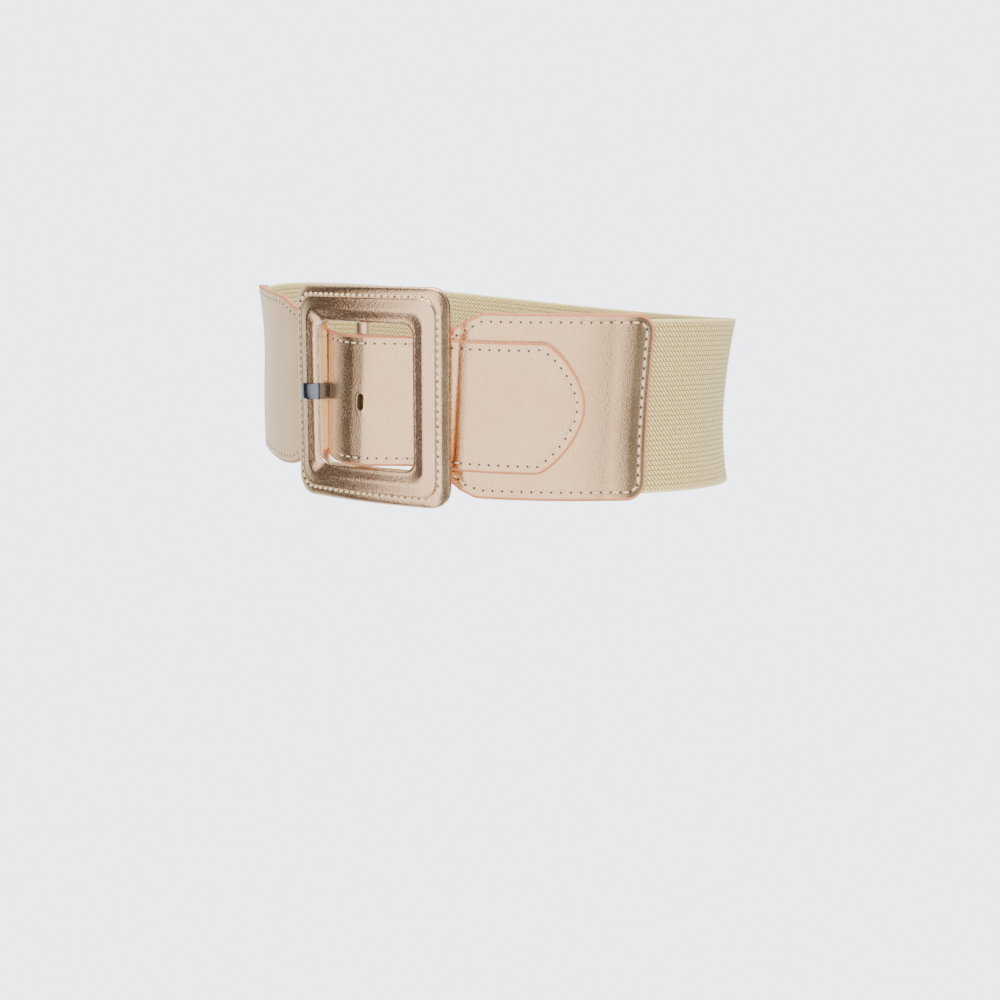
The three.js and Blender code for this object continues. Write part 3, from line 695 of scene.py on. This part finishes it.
# Section of a rail from its outer edge over the ridge to the window and back underneath, as shares
# of the rail's width and thickness.
RAIL = [
    # inset, high
    (0.040, 0.000),
    (0.006, 0.030),
    (0.000, 0.090),
    (0.000, 0.250),
    (0.000, 0.400),
    (0.010, 0.490),
    (0.042, 0.575),
    (0.100, 0.640),
    (0.155, 0.674),
    (0.200, 0.690),
    (0.235, 0.685),
    (0.262, 0.662),
    (0.285, 0.690),
    (0.305, 0.790),
    (0.330, 0.845),
    (0.400, 0.862),
    (0.480, 0.898),
    (0.560, 0.935),
    (0.610, 0.955),
    (0.650, 0.952),
    (0.690, 0.930),
    (0.770, 0.855),
    (0.850, 0.779),
    (0.890, 0.750),
    (0.935, 0.736),
    (0.975, 0.700),
    (0.996, 0.620),
    (1.000, 0.500),
    (1.000, 0.250),
    (1.000, 0.090),
    (0.994, 0.030),
    (0.965, 0.000),
    (0.500, 0.000),
]


def on_buckle(along, up, out):
    """Places on the curved and tilted buckle, in metres."""
    a = along / FRAME_CURVE
    x0 = (FRAME_CURVE + out) * np.sin(a)
    deep = (FRAME_CURVE + out) * np.cos(a) - FRAME_CURVE
    x = x0 * math.cos(FRAME_ROLL) - up * math.sin(FRAME_ROLL)
    z = x0 * math.sin(FRAME_ROLL) + up * math.cos(FRAME_ROLL)
    forward = WAIST_DEPTH / 2 + FRAME_STAND + deep * math.cos(FRAME_LEAN) + z * math.sin(FRAME_LEAN)
    tall = FRAME_RAISE + z * math.cos(FRAME_LEAN) - deep * math.sin(FRAME_LEAN)
    return np.stack([FRAME_SIDE + x, -forward, tall], -1) * MM


def rounded_loop(half_x, half_z, radius, corner_steps, top_steps, side_steps):
    """A rectangle with round corners, point by point, anticlockwise from its right side."""
    points = []
    centres = [(1, 1), (-1, 1), (-1, -1), (1, -1)]
    for q, (sx, sz) in enumerate(centres):
        cx, cz = sx * (half_x - radius), sz * (half_z - radius)
        arc = [(q + k / corner_steps) * math.pi / 2 for k in range(corner_steps + 1)]
        corner = [(cx + radius * math.cos(a), cz + radius * math.sin(a)) for a in arc]
        points.extend(corner)
        nx, nz = centres[(q + 1) % 4]
        next_angle = (q + 1) * math.pi / 2
        target = (
            nx * (half_x - radius) + radius * math.cos(next_angle),
            nz * (half_z - radius) + radius * math.sin(next_angle),
        )
        steps = top_steps if q % 2 == 0 else side_steps
        for k in range(1, steps):
            points.append(
                tuple(c + (t - c) * k / steps for c, t in zip(corner[-1], target))
            )
    return np.array(points)


def frame_loop(inset, radius):
    """The line that runs this far inside the frame's outer edge, once round."""
    return rounded_loop(
        FRAME_HALF - inset, FRAME_HEIGHT / 2 - inset, radius, CORNER_STEPS, TOP_STEPS, SIDE_STEPS
    )


def rail_section(count):
    """The rail's section as a smooth closed line of so many points."""
    rows = np.array(RAIL)
    n = len(rows)
    in_mm = rows * [RAIL_WIDTH, RAIL_THICK]
    lengths = np.linalg.norm(np.diff(in_mm, axis=0, append=in_mm[:1]), axis=1)
    knots = np.concatenate([[0], np.cumsum(lengths)])
    at = np.linspace(0, knots[-1], count, endpoint=False)
    i = np.clip(np.searchsorted(knots, at, side="right") - 1, 0, n - 1)
    f = ((at - knots[i]) / lengths[i])[:, None]
    p0, p1, p2, p3 = (rows[(i + k) % n] for k in (-1, 0, 1, 2))
    return 0.5 * (
        2 * p1
        + (p2 - p0) * f
        + (2 * p0 - 5 * p1 + 4 * p2 - p3) * f**2
        + (3 * p1 - p0 - 3 * p2 + p3) * f**3
    )


section = rail_section(SECTION_POINTS)
loops = []
for inset, high in section:
    inset = min(max(inset, 0.0), 1.0)
    radius = FRAME_CORNER + (WINDOW_CORNER - FRAME_CORNER) * inset
    loop = frame_loop(inset * RAIL_WIDTH, radius)
    loops.append(np.column_stack([loop, np.full(len(loop), max(high, 0.0) * RAIL_THICK)]))
loops = np.array(loops)
rings = np.concatenate([loops, loops[:1]]).transpose(1, 0, 2)
rings = np.concatenate([rings, rings[:1]])
# The cover puckers a little where it is pulled round the corners and between the stitches.
ring_number = np.arange(rings.shape[0])[:, None]
share = np.concatenate([section[:, 0], section[:1, 0]])[None, :]
pucker = 0.05 * np.sin(ring_number * 1.9) * np.exp(-(((share - 0.30) / 0.05) ** 2))
rings[:, :, 2] += pucker * (rings[:, :, 2] > 1.0)
# The left rail is stuffed fuller on the window's side. This and the rolled margin fade out at the
# corners and leave the underside flat.
fuller_at = (0.30, 0.40, 0.60, 0.70, 0.80, 0.88, 0.93, 0.975)
fuller = np.interp(share, fuller_at, (0, -0.012, 0.0, 0.035, 0.105, 0.168, 0.145, 0.02))
end_gap = FRAME_HEIGHT / 2 - np.abs(rings[:, :, 1])
on_left = np.clip((end_gap - FRAME_HALF - rings[:, :, 0]) / MITRE + 0.5, 0, 1)
rings[:, :, 2] += fuller * RAIL_THICK * on_left * (rings[:, :, 2] > 3.5)
# The margin rolls over more on the right rail.
rolled = np.interp(share, (0.0, 0.05, 0.10, 0.155, 0.20), (-0.23, -0.205, -0.135, -0.055, 0.0))
on_right = np.clip((end_gap - FRAME_HALF + rings[:, :, 0]) / MITRE + 0.5, 0, 1)
rings[:, :, 2] += rolled * RAIL_THICK * on_right * (rings[:, :, 2] > 2.4)
flat = rings.reshape(-1, 3)

bm = fresh_mesh(numbers=["inset", "across"])
verts = flat_grid(bm, rings.shape[0], rings.shape[1])
place(verts, on_buckle(flat[:, 0], flat[:, 1], flat[:, 2]))
mark(bm, verts, "inset", np.full(len(verts), 5.0))
mark(bm, verts, "across", np.tile(share.ravel() * RAIL_WIDTH, rings.shape[0]))
bmesh.ops.remove_doubles(bm, verts=bm.verts, dist=2e-6)
bmesh.ops.recalc_face_normals(bm, faces=bm.faces)

# Its edges are turned in, so none of it gets edge paint; the window's inner lip and wall get a
# painted highlight in a paler colour.
cover = metallic_leather(
    "buckle_cover",
    light=(0.89, 0.560, 0.335),
    deep=(0.80, 0.475, 0.270),
    pebbles_per_metre=1500.0,
    relief_depth=0.00011,
    rim_from=-2.0,
    rim_to=-1.0,
    wall=PAINTED_HIGHLIGHT_START,
)
buckle_frame = finished(bm, "buckle_frame_padded", [cover])
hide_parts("buckle_frame")

stitch_line = frame_loop(BUCKLE_STITCH, BUCKLE_STITCH_CORNER)
stitch_line = np.concatenate([stitch_line, stitch_line[:1]])


def on_rail(point, lift):
    """The groove of the rail's seam, as a surface to sew on."""
    return on_buckle(point[0], point[1], GROOVE_HIGH * RAIL_THICK + lift)


sewn_line("buckle_stitches", stitch_line, on_rail, "buckle_leather", BUCKLE_HOLE, **BUCKLE_THREAD)


# Centre bar. A flat bar with round edges in satin rose-gold metal, fixed into the top and bottom
# rails; the right panel folds round it and the prong turns on it.

BAR_WIDTH = 6.0
BAR_THICK = 3.0
BAR_SIDE = -3.5
BAR_OUT = -0.4
BAR_GAP = 0.3
BAR_HALF = FRAME_HEIGHT / 2 - RAIL_WIDTH - BAR_GAP

bar_turn = np.linspace(0, 2 * math.pi, 33)
bar_across = np.sign(np.cos(bar_turn)) * np.abs(np.cos(bar_turn)) ** 0.72 * BAR_WIDTH / 2
bar_deep = np.sign(np.sin(bar_turn)) * np.abs(np.sin(bar_turn)) ** 0.78 * BAR_THICK / 2
bar_up = np.linspace(-BAR_HALF, BAR_HALF, 9)
bm = bmesh.new()
verts = flat_grid(bm, len(bar_up), len(bar_turn))
place(
    verts,
    on_buckle(
        np.tile(bar_across, len(bar_up)) + BAR_SIDE,
        np.repeat(bar_up, len(bar_turn)),
        np.tile(bar_deep, len(bar_up)) + BAR_OUT,
    ),
)
bmesh.ops.remove_doubles(bm, verts=bm.verts, dist=1e-6)
bmesh.ops.holes_fill(bm, edges=[e for e in bm.edges if e.is_boundary], sides=0)
bmesh.ops.recalc_face_normals(bm, faces=bm.faces)


def brushed(name, stretch, scale, detail, dark, light, metallic, roughness):
    """Metal with fine lines: a noise stretched along one axis; roughness is its spread and start."""
    material, tree, shader = new_material(name)
    where = add(tree, "ShaderNodeTexCoord").outputs["Object"]
    stretched = add(tree, "ShaderNodeMapping", values={"Vector": where, "Scale": stretch})
    lines = noise(tree, stretched.outputs["Vector"], scale, detail)
    tree.links.new(blend_colours(tree, lines, dark, light), shader.inputs["Base Color"])
    shader.inputs["Metallic"].default_value = metallic
    tree.links.new(sums(tree, "MULTIPLY_ADD", lines, *roughness), shader.inputs["Roughness"])
    return material


satin = brushed(
    "satin_bar",
    stretch=(1.0, 1.0, 0.04),
    scale=2500.0,
    detail=3.0,
    dark=(0.74, 0.47, 0.33),
    light=(0.90, 0.61, 0.44),
    metallic=0.95,
    roughness=(0.12, 0.2),
)
centre_bar = finished(bm, "centre_bar_satin", [satin])
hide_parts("centre_bar")
centre_bar.data.set_sharp_from_angle(angle=math.radians(50))


# Prong. One flat strip of steel, bent into an eye round the bar, running under the strap and up
# through its hole, over the left rail's ridge, with its blunt tip bent down towards the margin.

PRONG_WIDTH = 6.6
PRONG_THICK = 1.1
PRONG_RAISE = 0.3
PRONG_RISE = -0.5895
EYE_GAP = 0.3
# Middle line from the tip to the bar, as shares of half the frame's width and of the rail's
# thickness.
PRONG = [
    # along, high
    (-0.845, 0.950),
    (-0.810, 1.030),
    (-0.775, 1.110),
    (-0.745, 1.135),
    (-0.715, 1.120),
    (-0.665, 1.055),
    (-0.618, 0.965),
    (-0.596, 0.850),
    (PRONG_RISE, 0.650),
    (PRONG_RISE, 0.200),
    (-0.587, -0.140),
    (-0.565, -0.290),
    (-0.530, -0.290),
    (-0.450, -0.130),
    (-0.320, 0.070),
    (-0.240, 0.170),
]
bar_x = BAR_WIDTH / 2 + EYE_GAP + PRONG_THICK / 2
bar_z = BAR_THICK / 2 + EYE_GAP + PRONG_THICK / 2
line = [(a * FRAME_HALF, h * RAIL_THICK) for a, h in PRONG]
# The eye wraps over the bar's front, round its right side and back underneath.
for turn in range(140, -191, -22):
    a = math.radians(turn)
    sx, sz = abs(math.cos(a)) ** 0.7, abs(math.sin(a)) ** 0.7
    line.append(
        (
            BAR_SIDE + math.copysign(sx, math.cos(a)) * bar_x,
            BAR_OUT + math.copysign(sz, math.sin(a)) * bar_z,
        )
    )
line = np.array(line)
lengths = np.concatenate([[0], np.cumsum(np.linalg.norm(np.diff(line, axis=0), axis=1))])
fine = np.linspace(0, lengths[-1], 150)
strip = np.stack([np.interp(fine, lengths, line[:, k]) for k in range(2)], -1)
for _ in range(3):
    strip[1:-1] = (strip[:-2] + 2 * strip[1:-1] + strip[2:]) / 4
ahead = np.gradient(strip, axis=0)
ahead /= np.linalg.norm(ahead, axis=1)[:, None]
facing = np.stack([-ahead[:, 1], ahead[:, 0]], -1)
half_wide = PRONG_WIDTH / 2 * np.minimum(1, 0.80 + fine / 8)
ROUND = 0.22
prong_section = [
    (-1, 0.0, -0.5 + ROUND),
    (-1, ROUND * 0.3, -0.5 + ROUND * 0.3),
    (-1, ROUND, -0.5),
    (1, ROUND, -0.5),
    (1, ROUND * 0.3, -0.5 + ROUND * 0.3),
    (1, 0.0, -0.5 + ROUND),
    (1, 0.0, 0.5 - ROUND),
    (1, ROUND * 0.3, 0.5 - ROUND * 0.3),
    (1, ROUND, 0.5),
    (-1, ROUND, 0.5),
    (-1, ROUND * 0.3, 0.5 - ROUND * 0.3),
    (-1, 0.0, 0.5 - ROUND),
    (-1, 0.0, -0.5 + ROUND),
]
points = []
for k in range(len(strip)):
    for side, trim, across in prong_section:
        place_x, place_z = strip[k] + facing[k] * across * PRONG_THICK
        points.append((place_x, PRONG_RAISE + side * (half_wide[k] - trim), place_z))
points = np.array(points)
bm = bmesh.new()
verts = flat_grid(bm, len(strip), len(prong_section))
place(verts, on_buckle(points[:, 0], points[:, 1], points[:, 2]))
bmesh.ops.remove_doubles(bm, verts=bm.verts, dist=1e-7)
bmesh.ops.holes_fill(bm, edges=[e for e in bm.edges if e.is_boundary], sides=0)
bmesh.ops.recalc_face_normals(bm, faces=bm.faces)

steel = brushed(
    "prong_steel",
    stretch=(0.08, 0.08, 1.0),
    scale=3500.0,
    detail=4.0,
    dark=(0.12, 0.125, 0.155),
    light=(0.21, 0.215, 0.26),
    metallic=1.0,
    roughness=(0.14, 0.16),
)
prong = finished(bm, "prong_bent", [steel])
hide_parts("prong")
prong.data.set_sharp_from_angle(angle=math.radians(40))


# Left leather panel and strap, one piece: the panel tapers into the strap, which goes under the
# left rail, over the bar, under the right rail, and ends in a round nose on the right panel. It has
# one punched slot in the window and one where the prong comes up.

TONGUE_THICK = 2.2
TONGUE_REACH = 87.0
TONGUE_NOSE = 18.0
TONGUE_ROUND = 0.95
TONGUE_STITCH = 3.3
TONGUE_THREAD = {"pitch": 3.8, "length": 2.8, "width": 0.75, "proud": 0.26}
HOLE_WIDTH = 3.0
HOLE_HEIGHT = 7.0
HOLE_RUN = -0.054 * FRAME_HALF
HOLE_RAISE = -0.7
HOLE_RIM = 0.2
PRONG_SLOT_WIDTH = 4.4
PRONG_SLOT_CLEAR = 0.3
PRONG_SLOT_SHIFT = 0.11
# The seam leaves out the place under the left rail where the prong comes up, this far each way; on
# the back it is sewn on the panel only.
SEAM_GAP_RUN = -22.0
SEAM_GAP = 7.0
BACK_SEAM_END = -24.0
# Outer face as a share of the buckle's stand, thickness as a share of the strap's, and the top and
# bottom edges as shares of half the panel's height.
TONGUE = [
    # at, out, thick, top, foot
    (-2.000, 0.270, 2.00, 1.000, 1.000),
    (-1.947, 0.270, 2.00, 1.000, 1.000),
    (-1.895, 0.330, 2.10, 1.000, 1.000),
    (-1.835, 0.300, 2.00, 1.000, 1.000),
    (-1.774, 0.230, 1.75, 1.000, 1.000),
    (-1.699, 0.230, 1.25, 1.000, 1.000),
    (-1.428, 0.240, 1.20, 1.000, 1.000),
    (-1.338, 0.260, 1.20, 0.985, 0.985),
    (-1.278, 0.300, 1.20, 0.950, 0.965),
    (-1.188, 0.380, 1.15, 0.900, 0.910),
    (-1.022, 0.580, 1.10, 0.800, 0.770),
    (-0.836, 0.730, 1.00, 0.745, 0.670),
    (-0.674, 0.790, 1.00, 0.725, 0.612),
    (-0.621, 1.020, 1.00, 0.722, 0.640),
    (-0.567, 1.370, 1.00, 0.718, 0.680),
    (-0.492, 1.600, 1.00, 0.712, 0.710),
    (-0.388, 1.840, 1.00, 0.707, 0.724),
    (-0.263, 2.030, 1.00, 0.704, 0.728),
    (-0.149, 2.120, 1.00, 0.705, 0.727),
    (-0.045, 2.120, 1.00, 0.708, 0.722),
    (0.060, 2.010, 1.00, 0.713, 0.715),
    (0.209, 1.700, 1.00, 0.720, 0.703),
    (0.358, 1.250, 1.00, 0.725, 0.695),
    (0.469, 0.890, 1.00, 0.724, 0.692),
    (0.552, 0.800, 1.00, 0.720, 0.692),
    (0.716, 0.770, 1.00, 0.710, 0.694),
    (1.098, 0.820, 1.00, 0.700, 0.703),
    (1.647, 0.820, 1.00, 0.696, 0.706),
]
NOSE = [
    # along, high
    (0.00, 1.000),
    (0.14, 0.975),
    (0.28, 0.910),
    (0.42, 0.825),
    (0.56, 0.715),
    (0.70, 0.585),
    (0.83, 0.435),
    (0.93, 0.270),
    (0.98, 0.150),
    (1.00, 0.060),
]

strap_runs = np.unique(
    np.round(
        np.concatenate(
            [
                -PANEL_REACH + END_ROWS,
                np.arange(-PANEL_REACH + 14.2, -30, 1.25),
                np.arange(-30, 22, 0.8),
                np.arange(HOLE_RUN - 3.6, HOLE_RUN + 3.6, 0.4),
                np.arange(22.5, 34, 1.25),
                np.arange(34.5, 43, 0.8),
                np.arange(43.5, TONGUE_REACH - TONGUE_NOSE, 1.25),
                TONGUE_REACH - TONGUE_NOSE * (1 - np.linspace(0, 0.9, 16)),
                TONGUE_REACH - np.array([1.5, 1.2, 0.9, 0.6, 0.35, 0.15, 0.0]),
            ]
        ),
        3,
    )
)
at = place_along(strap_runs)
nose = np.clip((strap_runs - (TONGUE_REACH - TONGUE_NOSE)) / TONGUE_NOSE, 0, 1)
high = smooth_column(NOSE, 1, nose)
cut = corner_cut(strap_runs + PANEL_REACH)
strap_top = (smooth_column(TONGUE, 3, at) * PANEL_HEIGHT / 2 - cut) * high
strap_foot = -(smooth_column(TONGUE, 4, at) * PANEL_HEIGHT / 2 - cut) * high
strap_out = smooth_column(TONGUE, 1, at) * FRAME_STAND
strap_inner = strap_out - smooth_column(TONGUE, 2, at) * TONGUE_THICK
strap_out = strap_out - pressed(strap_runs)


def slot_rim(flat):
    """The punched slot's rim stands a little proud of the leather."""
    dx = np.maximum(np.abs(flat[:, 0] - HOLE_RUN) - 0.05, 0)
    dy = np.maximum(np.abs(flat[:, 1] - HOLE_RAISE) - (HOLE_HEIGHT - HOLE_WIDTH) / 2, 0)
    gap = np.hypot(dx, dy) - HOLE_WIDTH / 2
    return HOLE_RIM * np.exp(-(((gap - 0.2) / 0.35) ** 2))


bm, strap_outline = leather_sheet(
    strap_runs,
    strap_foot,
    strap_top,
    strap_out,
    strap_inner,
    TONGUE_ROUND,
    TONGUE_STITCH,
    extra_rows=np.arange(-6, 7, 0.55),
    dents=slot_rim,
)
strap_leather = metallic_leather(
    "strap_leather",
    light=(0.90, 0.570, 0.325),
    deep=(0.84, 0.510, 0.275),
    pebbles_per_metre=1900.0,
    relief_depth=0.00009,
    rim_from=0.75,
    rim_to=1.25,
)
tongue_panel = finished(bm, "tongue_panel_leather", [strap_leather, backing])
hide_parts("tongue_panel")


def slot_cutter(run, height, width, tall, radius):
    """A prism with round corners right through the strap."""
    bm = bmesh.new()
    loop = rounded_loop(width / 2, tall / 2, radius, 6, 2, 3)
    verts = [bm.verts.new((x, y, -1)) for x, y in loop]
    face = bm.faces.new(verts)
    raised = bmesh.ops.extrude_face_region(bm, geom=[face])["geom"]
    lid = [g for g in raised if isinstance(g, bmesh.types.BMVert)]
    bmesh.ops.translate(bm, verts=lid, vec=(0, 0, 15))
    spots = np.array([v.co[:] for v in bm.verts])
    place(bm.verts, on_belt(spots[:, 0] + run, spots[:, 1] + height, spots[:, 2]))
    bmesh.ops.recalc_face_normals(bm, faces=bm.faces)
    mesh = bpy.data.meshes.new("slot_cutter")
    bm.to_mesh(mesh)
    bm.free()
    # The slots' cut walls take this near-black painted shade through the boolean.
    mesh.materials.append(painted_hole_shade)
    cutter = bpy.data.objects.new("slot_cutter", mesh)
    bpy.context.collection.objects.link(cutter)
    return cutter


prong_rise = PRONG_RISE * FRAME_HALF
prong_run = FRAME_SIDE + prong_rise + PRONG_SLOT_SHIFT
prong_height = (on_buckle(prong_rise, PRONG_RAISE, 0.0)[2] - on_belt(prong_run, 0.0, 0.0)[2]) / MM
cutters = [
    slot_cutter(HOLE_RUN, HOLE_RAISE, HOLE_WIDTH, HOLE_HEIGHT, HOLE_WIDTH * 0.49),
    slot_cutter(
        prong_run, prong_height, PRONG_SLOT_WIDTH, PRONG_WIDTH + 2 * PRONG_SLOT_CLEAR, 0.4
    ),
]
for cutter in cutters:
    punch = tongue_panel.modifiers.new("punch", "BOOLEAN")
    punch.operation = "DIFFERENCE"
    punch.solver = "EXACT"
    punch.material_mode = "TRANSFER"
    punch.object = cutter
punched = bpy.data.meshes.new_from_object(
    tongue_panel.evaluated_get(bpy.context.evaluated_depsgraph_get())
)
tongue_panel.modifiers.clear()
tongue_panel.data = punched
for cutter in cutters:
    bpy.data.objects.remove(cutter)

strap_seam = seam_path(
    strap_outline, TONGUE_STITCH, lambda line: np.abs(line[:, 0] - SEAM_GAP_RUN) > SEAM_GAP
)
panel_seam = opened(strap_seam[strap_seam[:, 0] < BACK_SEAM_END])
strap_front = leather_face(strap_runs, strap_out, 1)
strap_back = leather_face(strap_runs, strap_inner, -1)
for name, seam, face, hole in (
    ("tongue_panel_stitches", strap_seam, strap_front, FRONT_HOLE),
    ("tongue_panel_back_stitches", panel_seam, strap_back, BACK_HOLE),
):
    sewn_line(name, seam, face, "panel_leather", hole, **TONGUE_THREAD)


# Studio: a plain pale floor, a broad soft light in front of the buckle, a dark ring round it as in
# a room, and pale walls beyond. The camera stands where the photograph was taken.

FLOOR_RADIUS = 0.5
FLOOR_PLACE = (0, 0, -1.05)
# What the camera sees behind the belt.
BACKDROP = {"Color": (0.80, 0.83, 0.93, 1), "Strength": 4.7}
ROOM_TURN = math.radians(-12.5)
ROOM_STRENGTH = 2.4

floor_mesh = bpy.data.meshes.new("studio_floor")
bm = bmesh.new()
bmesh.ops.create_circle(
    bm, cap_ends=True, segments=96, radius=FLOOR_RADIUS, matrix=Matrix.Translation(FLOOR_PLACE)
)
bm.to_mesh(floor_mesh)
bm.free()
floor = bpy.data.objects.new("studio_floor", floor_mesh)
bpy.context.collection.objects.link(floor)
pale, tree, shader = new_material("pale_floor")
shader.inputs["Base Color"].default_value = (0.86, 0.86, 0.88, 1)
shader.inputs["Roughness"].default_value = 0.9
seen = add(tree, "ShaderNodeLightPath").outputs["Is Camera Ray"]
lit = add(tree, "ShaderNodeEmission", values=BACKDROP)
mix = add(tree, "ShaderNodeMixShader", values={0: seen, 1: shader.outputs[0], 2: lit.outputs[0]})
tree.links.new(mix.outputs[0], tree.nodes["Material Output"].inputs["Surface"])
floor_mesh.materials.append(pale)
floor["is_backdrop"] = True

world = bpy.data.worlds.new("studio_room")
bpy.context.scene.world = world
world.use_nodes = True
tree = world.node_tree
tree.nodes.clear()
direction = add(tree, "ShaderNodeTexCoord")
facing = add(
    tree,
    "ShaderNodeMapping",
    {"vector_type": "VECTOR"},
    {"Vector": direction.outputs["Generated"], "Rotation": (0, 0, ROOM_TURN)},
)
sides = add(tree, "ShaderNodeSeparateXYZ", values={0: facing.outputs["Vector"]})
# Below the horizon a slope counts half, so the bright front reaches further down there.
rise = sums(tree, "MULTIPLY", sums(tree, "ABSOLUTE", sides.outputs["Z"]), 0.25)
rise = sums(tree, "MULTIPLY_ADD", sides.outputs["Z"], 0.75, rise)
tall = add(
    tree, "ShaderNodeCombineXYZ", values={0: sides.outputs["X"], 1: sides.outputs["Y"], 2: rise}
)
unit = add(tree, "ShaderNodeVectorMath", {"operation": "NORMALIZE"}, {0: tall.outputs["Vector"]})
front = add(
    tree,
    "ShaderNodeVectorMath",
    {"operation": "DOT_PRODUCT"},
    {0: unit.outputs["Vector"], 1: (0, -1, 0)},
)
angle = sums(tree, "DIVIDE", sums(tree, "ARCCOSINE", front.outputs["Value"]), math.pi)
ring = tree.nodes.new("ShaderNodeValToRGB")
ring.color_ramp.interpolation = "EASE"
stops = ring.color_ramp.elements
stops[0].position, stops[0].color = 28 / 180, (1.0, 0.99, 0.96, 1)
stops[1].position, stops[1].color = 40 / 180, (0.84, 0.83, 0.81, 1)
for degrees, shade in (
    (46, (0.74, 0.72, 0.70)),
    (52, (0.027, 0.024, 0.032)),
    (84, (0.027, 0.024, 0.032)),
    (93, (0.55, 0.61, 0.57)),
    (180, (0.80, 0.84, 0.84)),
):
    stop = stops.new(degrees / 180)
    stop.color = (*shade, 1)
tree.links.new(angle, ring.inputs["Fac"])
# The ring is paler on the right, where a wall stands near.
near_wall = sums(tree, "MULTIPLY", ramp(tree, sides.outputs["X"], 0.45, 0.90), 0.16)
walls = blend_colours(tree, near_wall, ring.outputs["Color"], (0.50, 0.60, 0.62))
seen = add(tree, "ShaderNodeLightPath").outputs["Is Camera Ray"]
room = add(tree, "ShaderNodeBackground", values={"Color": walls, "Strength": ROOM_STRENGTH})
backdrop = add(tree, "ShaderNodeBackground", values=BACKDROP)
mix = add(tree, "ShaderNodeMixShader", values={0: seen, 1: room.outputs[0], 2: backdrop.outputs[0]})
world_out = tree.nodes.new("ShaderNodeOutputWorld")
tree.links.new(mix.outputs[0], world_out.inputs["Surface"])


def softbox(name, size, energy, spot):
    """A round lamp at this spot, facing down until it is turned."""
    lamp_data = bpy.data.lights.new(name, "AREA")
    lamp_data.shape = "DISK"
    lamp_data.size = size
    lamp_data.energy = energy
    lamp = bpy.data.objects.new(name, lamp_data)
    bpy.context.collection.objects.link(lamp)
    lamp.location = spot
    return lamp


softbox("ceiling_softbox", 2.6, 95.0, (0.0, 0.0, 2.4))
fill = softbox("side_softbox", 1.4, 38.0, (1.7, -0.7, 0.5))
fill.data.color = (1.0, 0.95, 0.84)
fill.rotation_euler = fill.location.to_track_quat("Z", "Y").to_euler()
fill.visible_glossy = False

camera_data = bpy.data.cameras.new("photo_camera")
camera_data.sensor_width = 36.0
camera_data.lens = 53.352
camera_data.clip_start = 0.01
camera_data.clip_end = 50
camera = bpy.data.objects.new("photo_camera", camera_data)
bpy.context.collection.objects.link(camera)
camera_place = (0.367954, -0.567249, 0.072378)
back = Vector((0.52451541, -0.83106957, 0.18495125)).normalized()
right = Vector((0, 0, 1)).cross(back).normalized()
up = back.cross(right)
roll = math.radians(2.98)
turned_right = right * math.cos(roll) + up * math.sin(roll)
turned_up = up * math.cos(roll) - right * math.sin(roll)
axes = Matrix((turned_right, turned_up, back)).transposed().to_4x4()
camera.matrix_world = Matrix.Translation(camera_place) @ axes
bpy.context.scene.camera = camera

low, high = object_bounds()
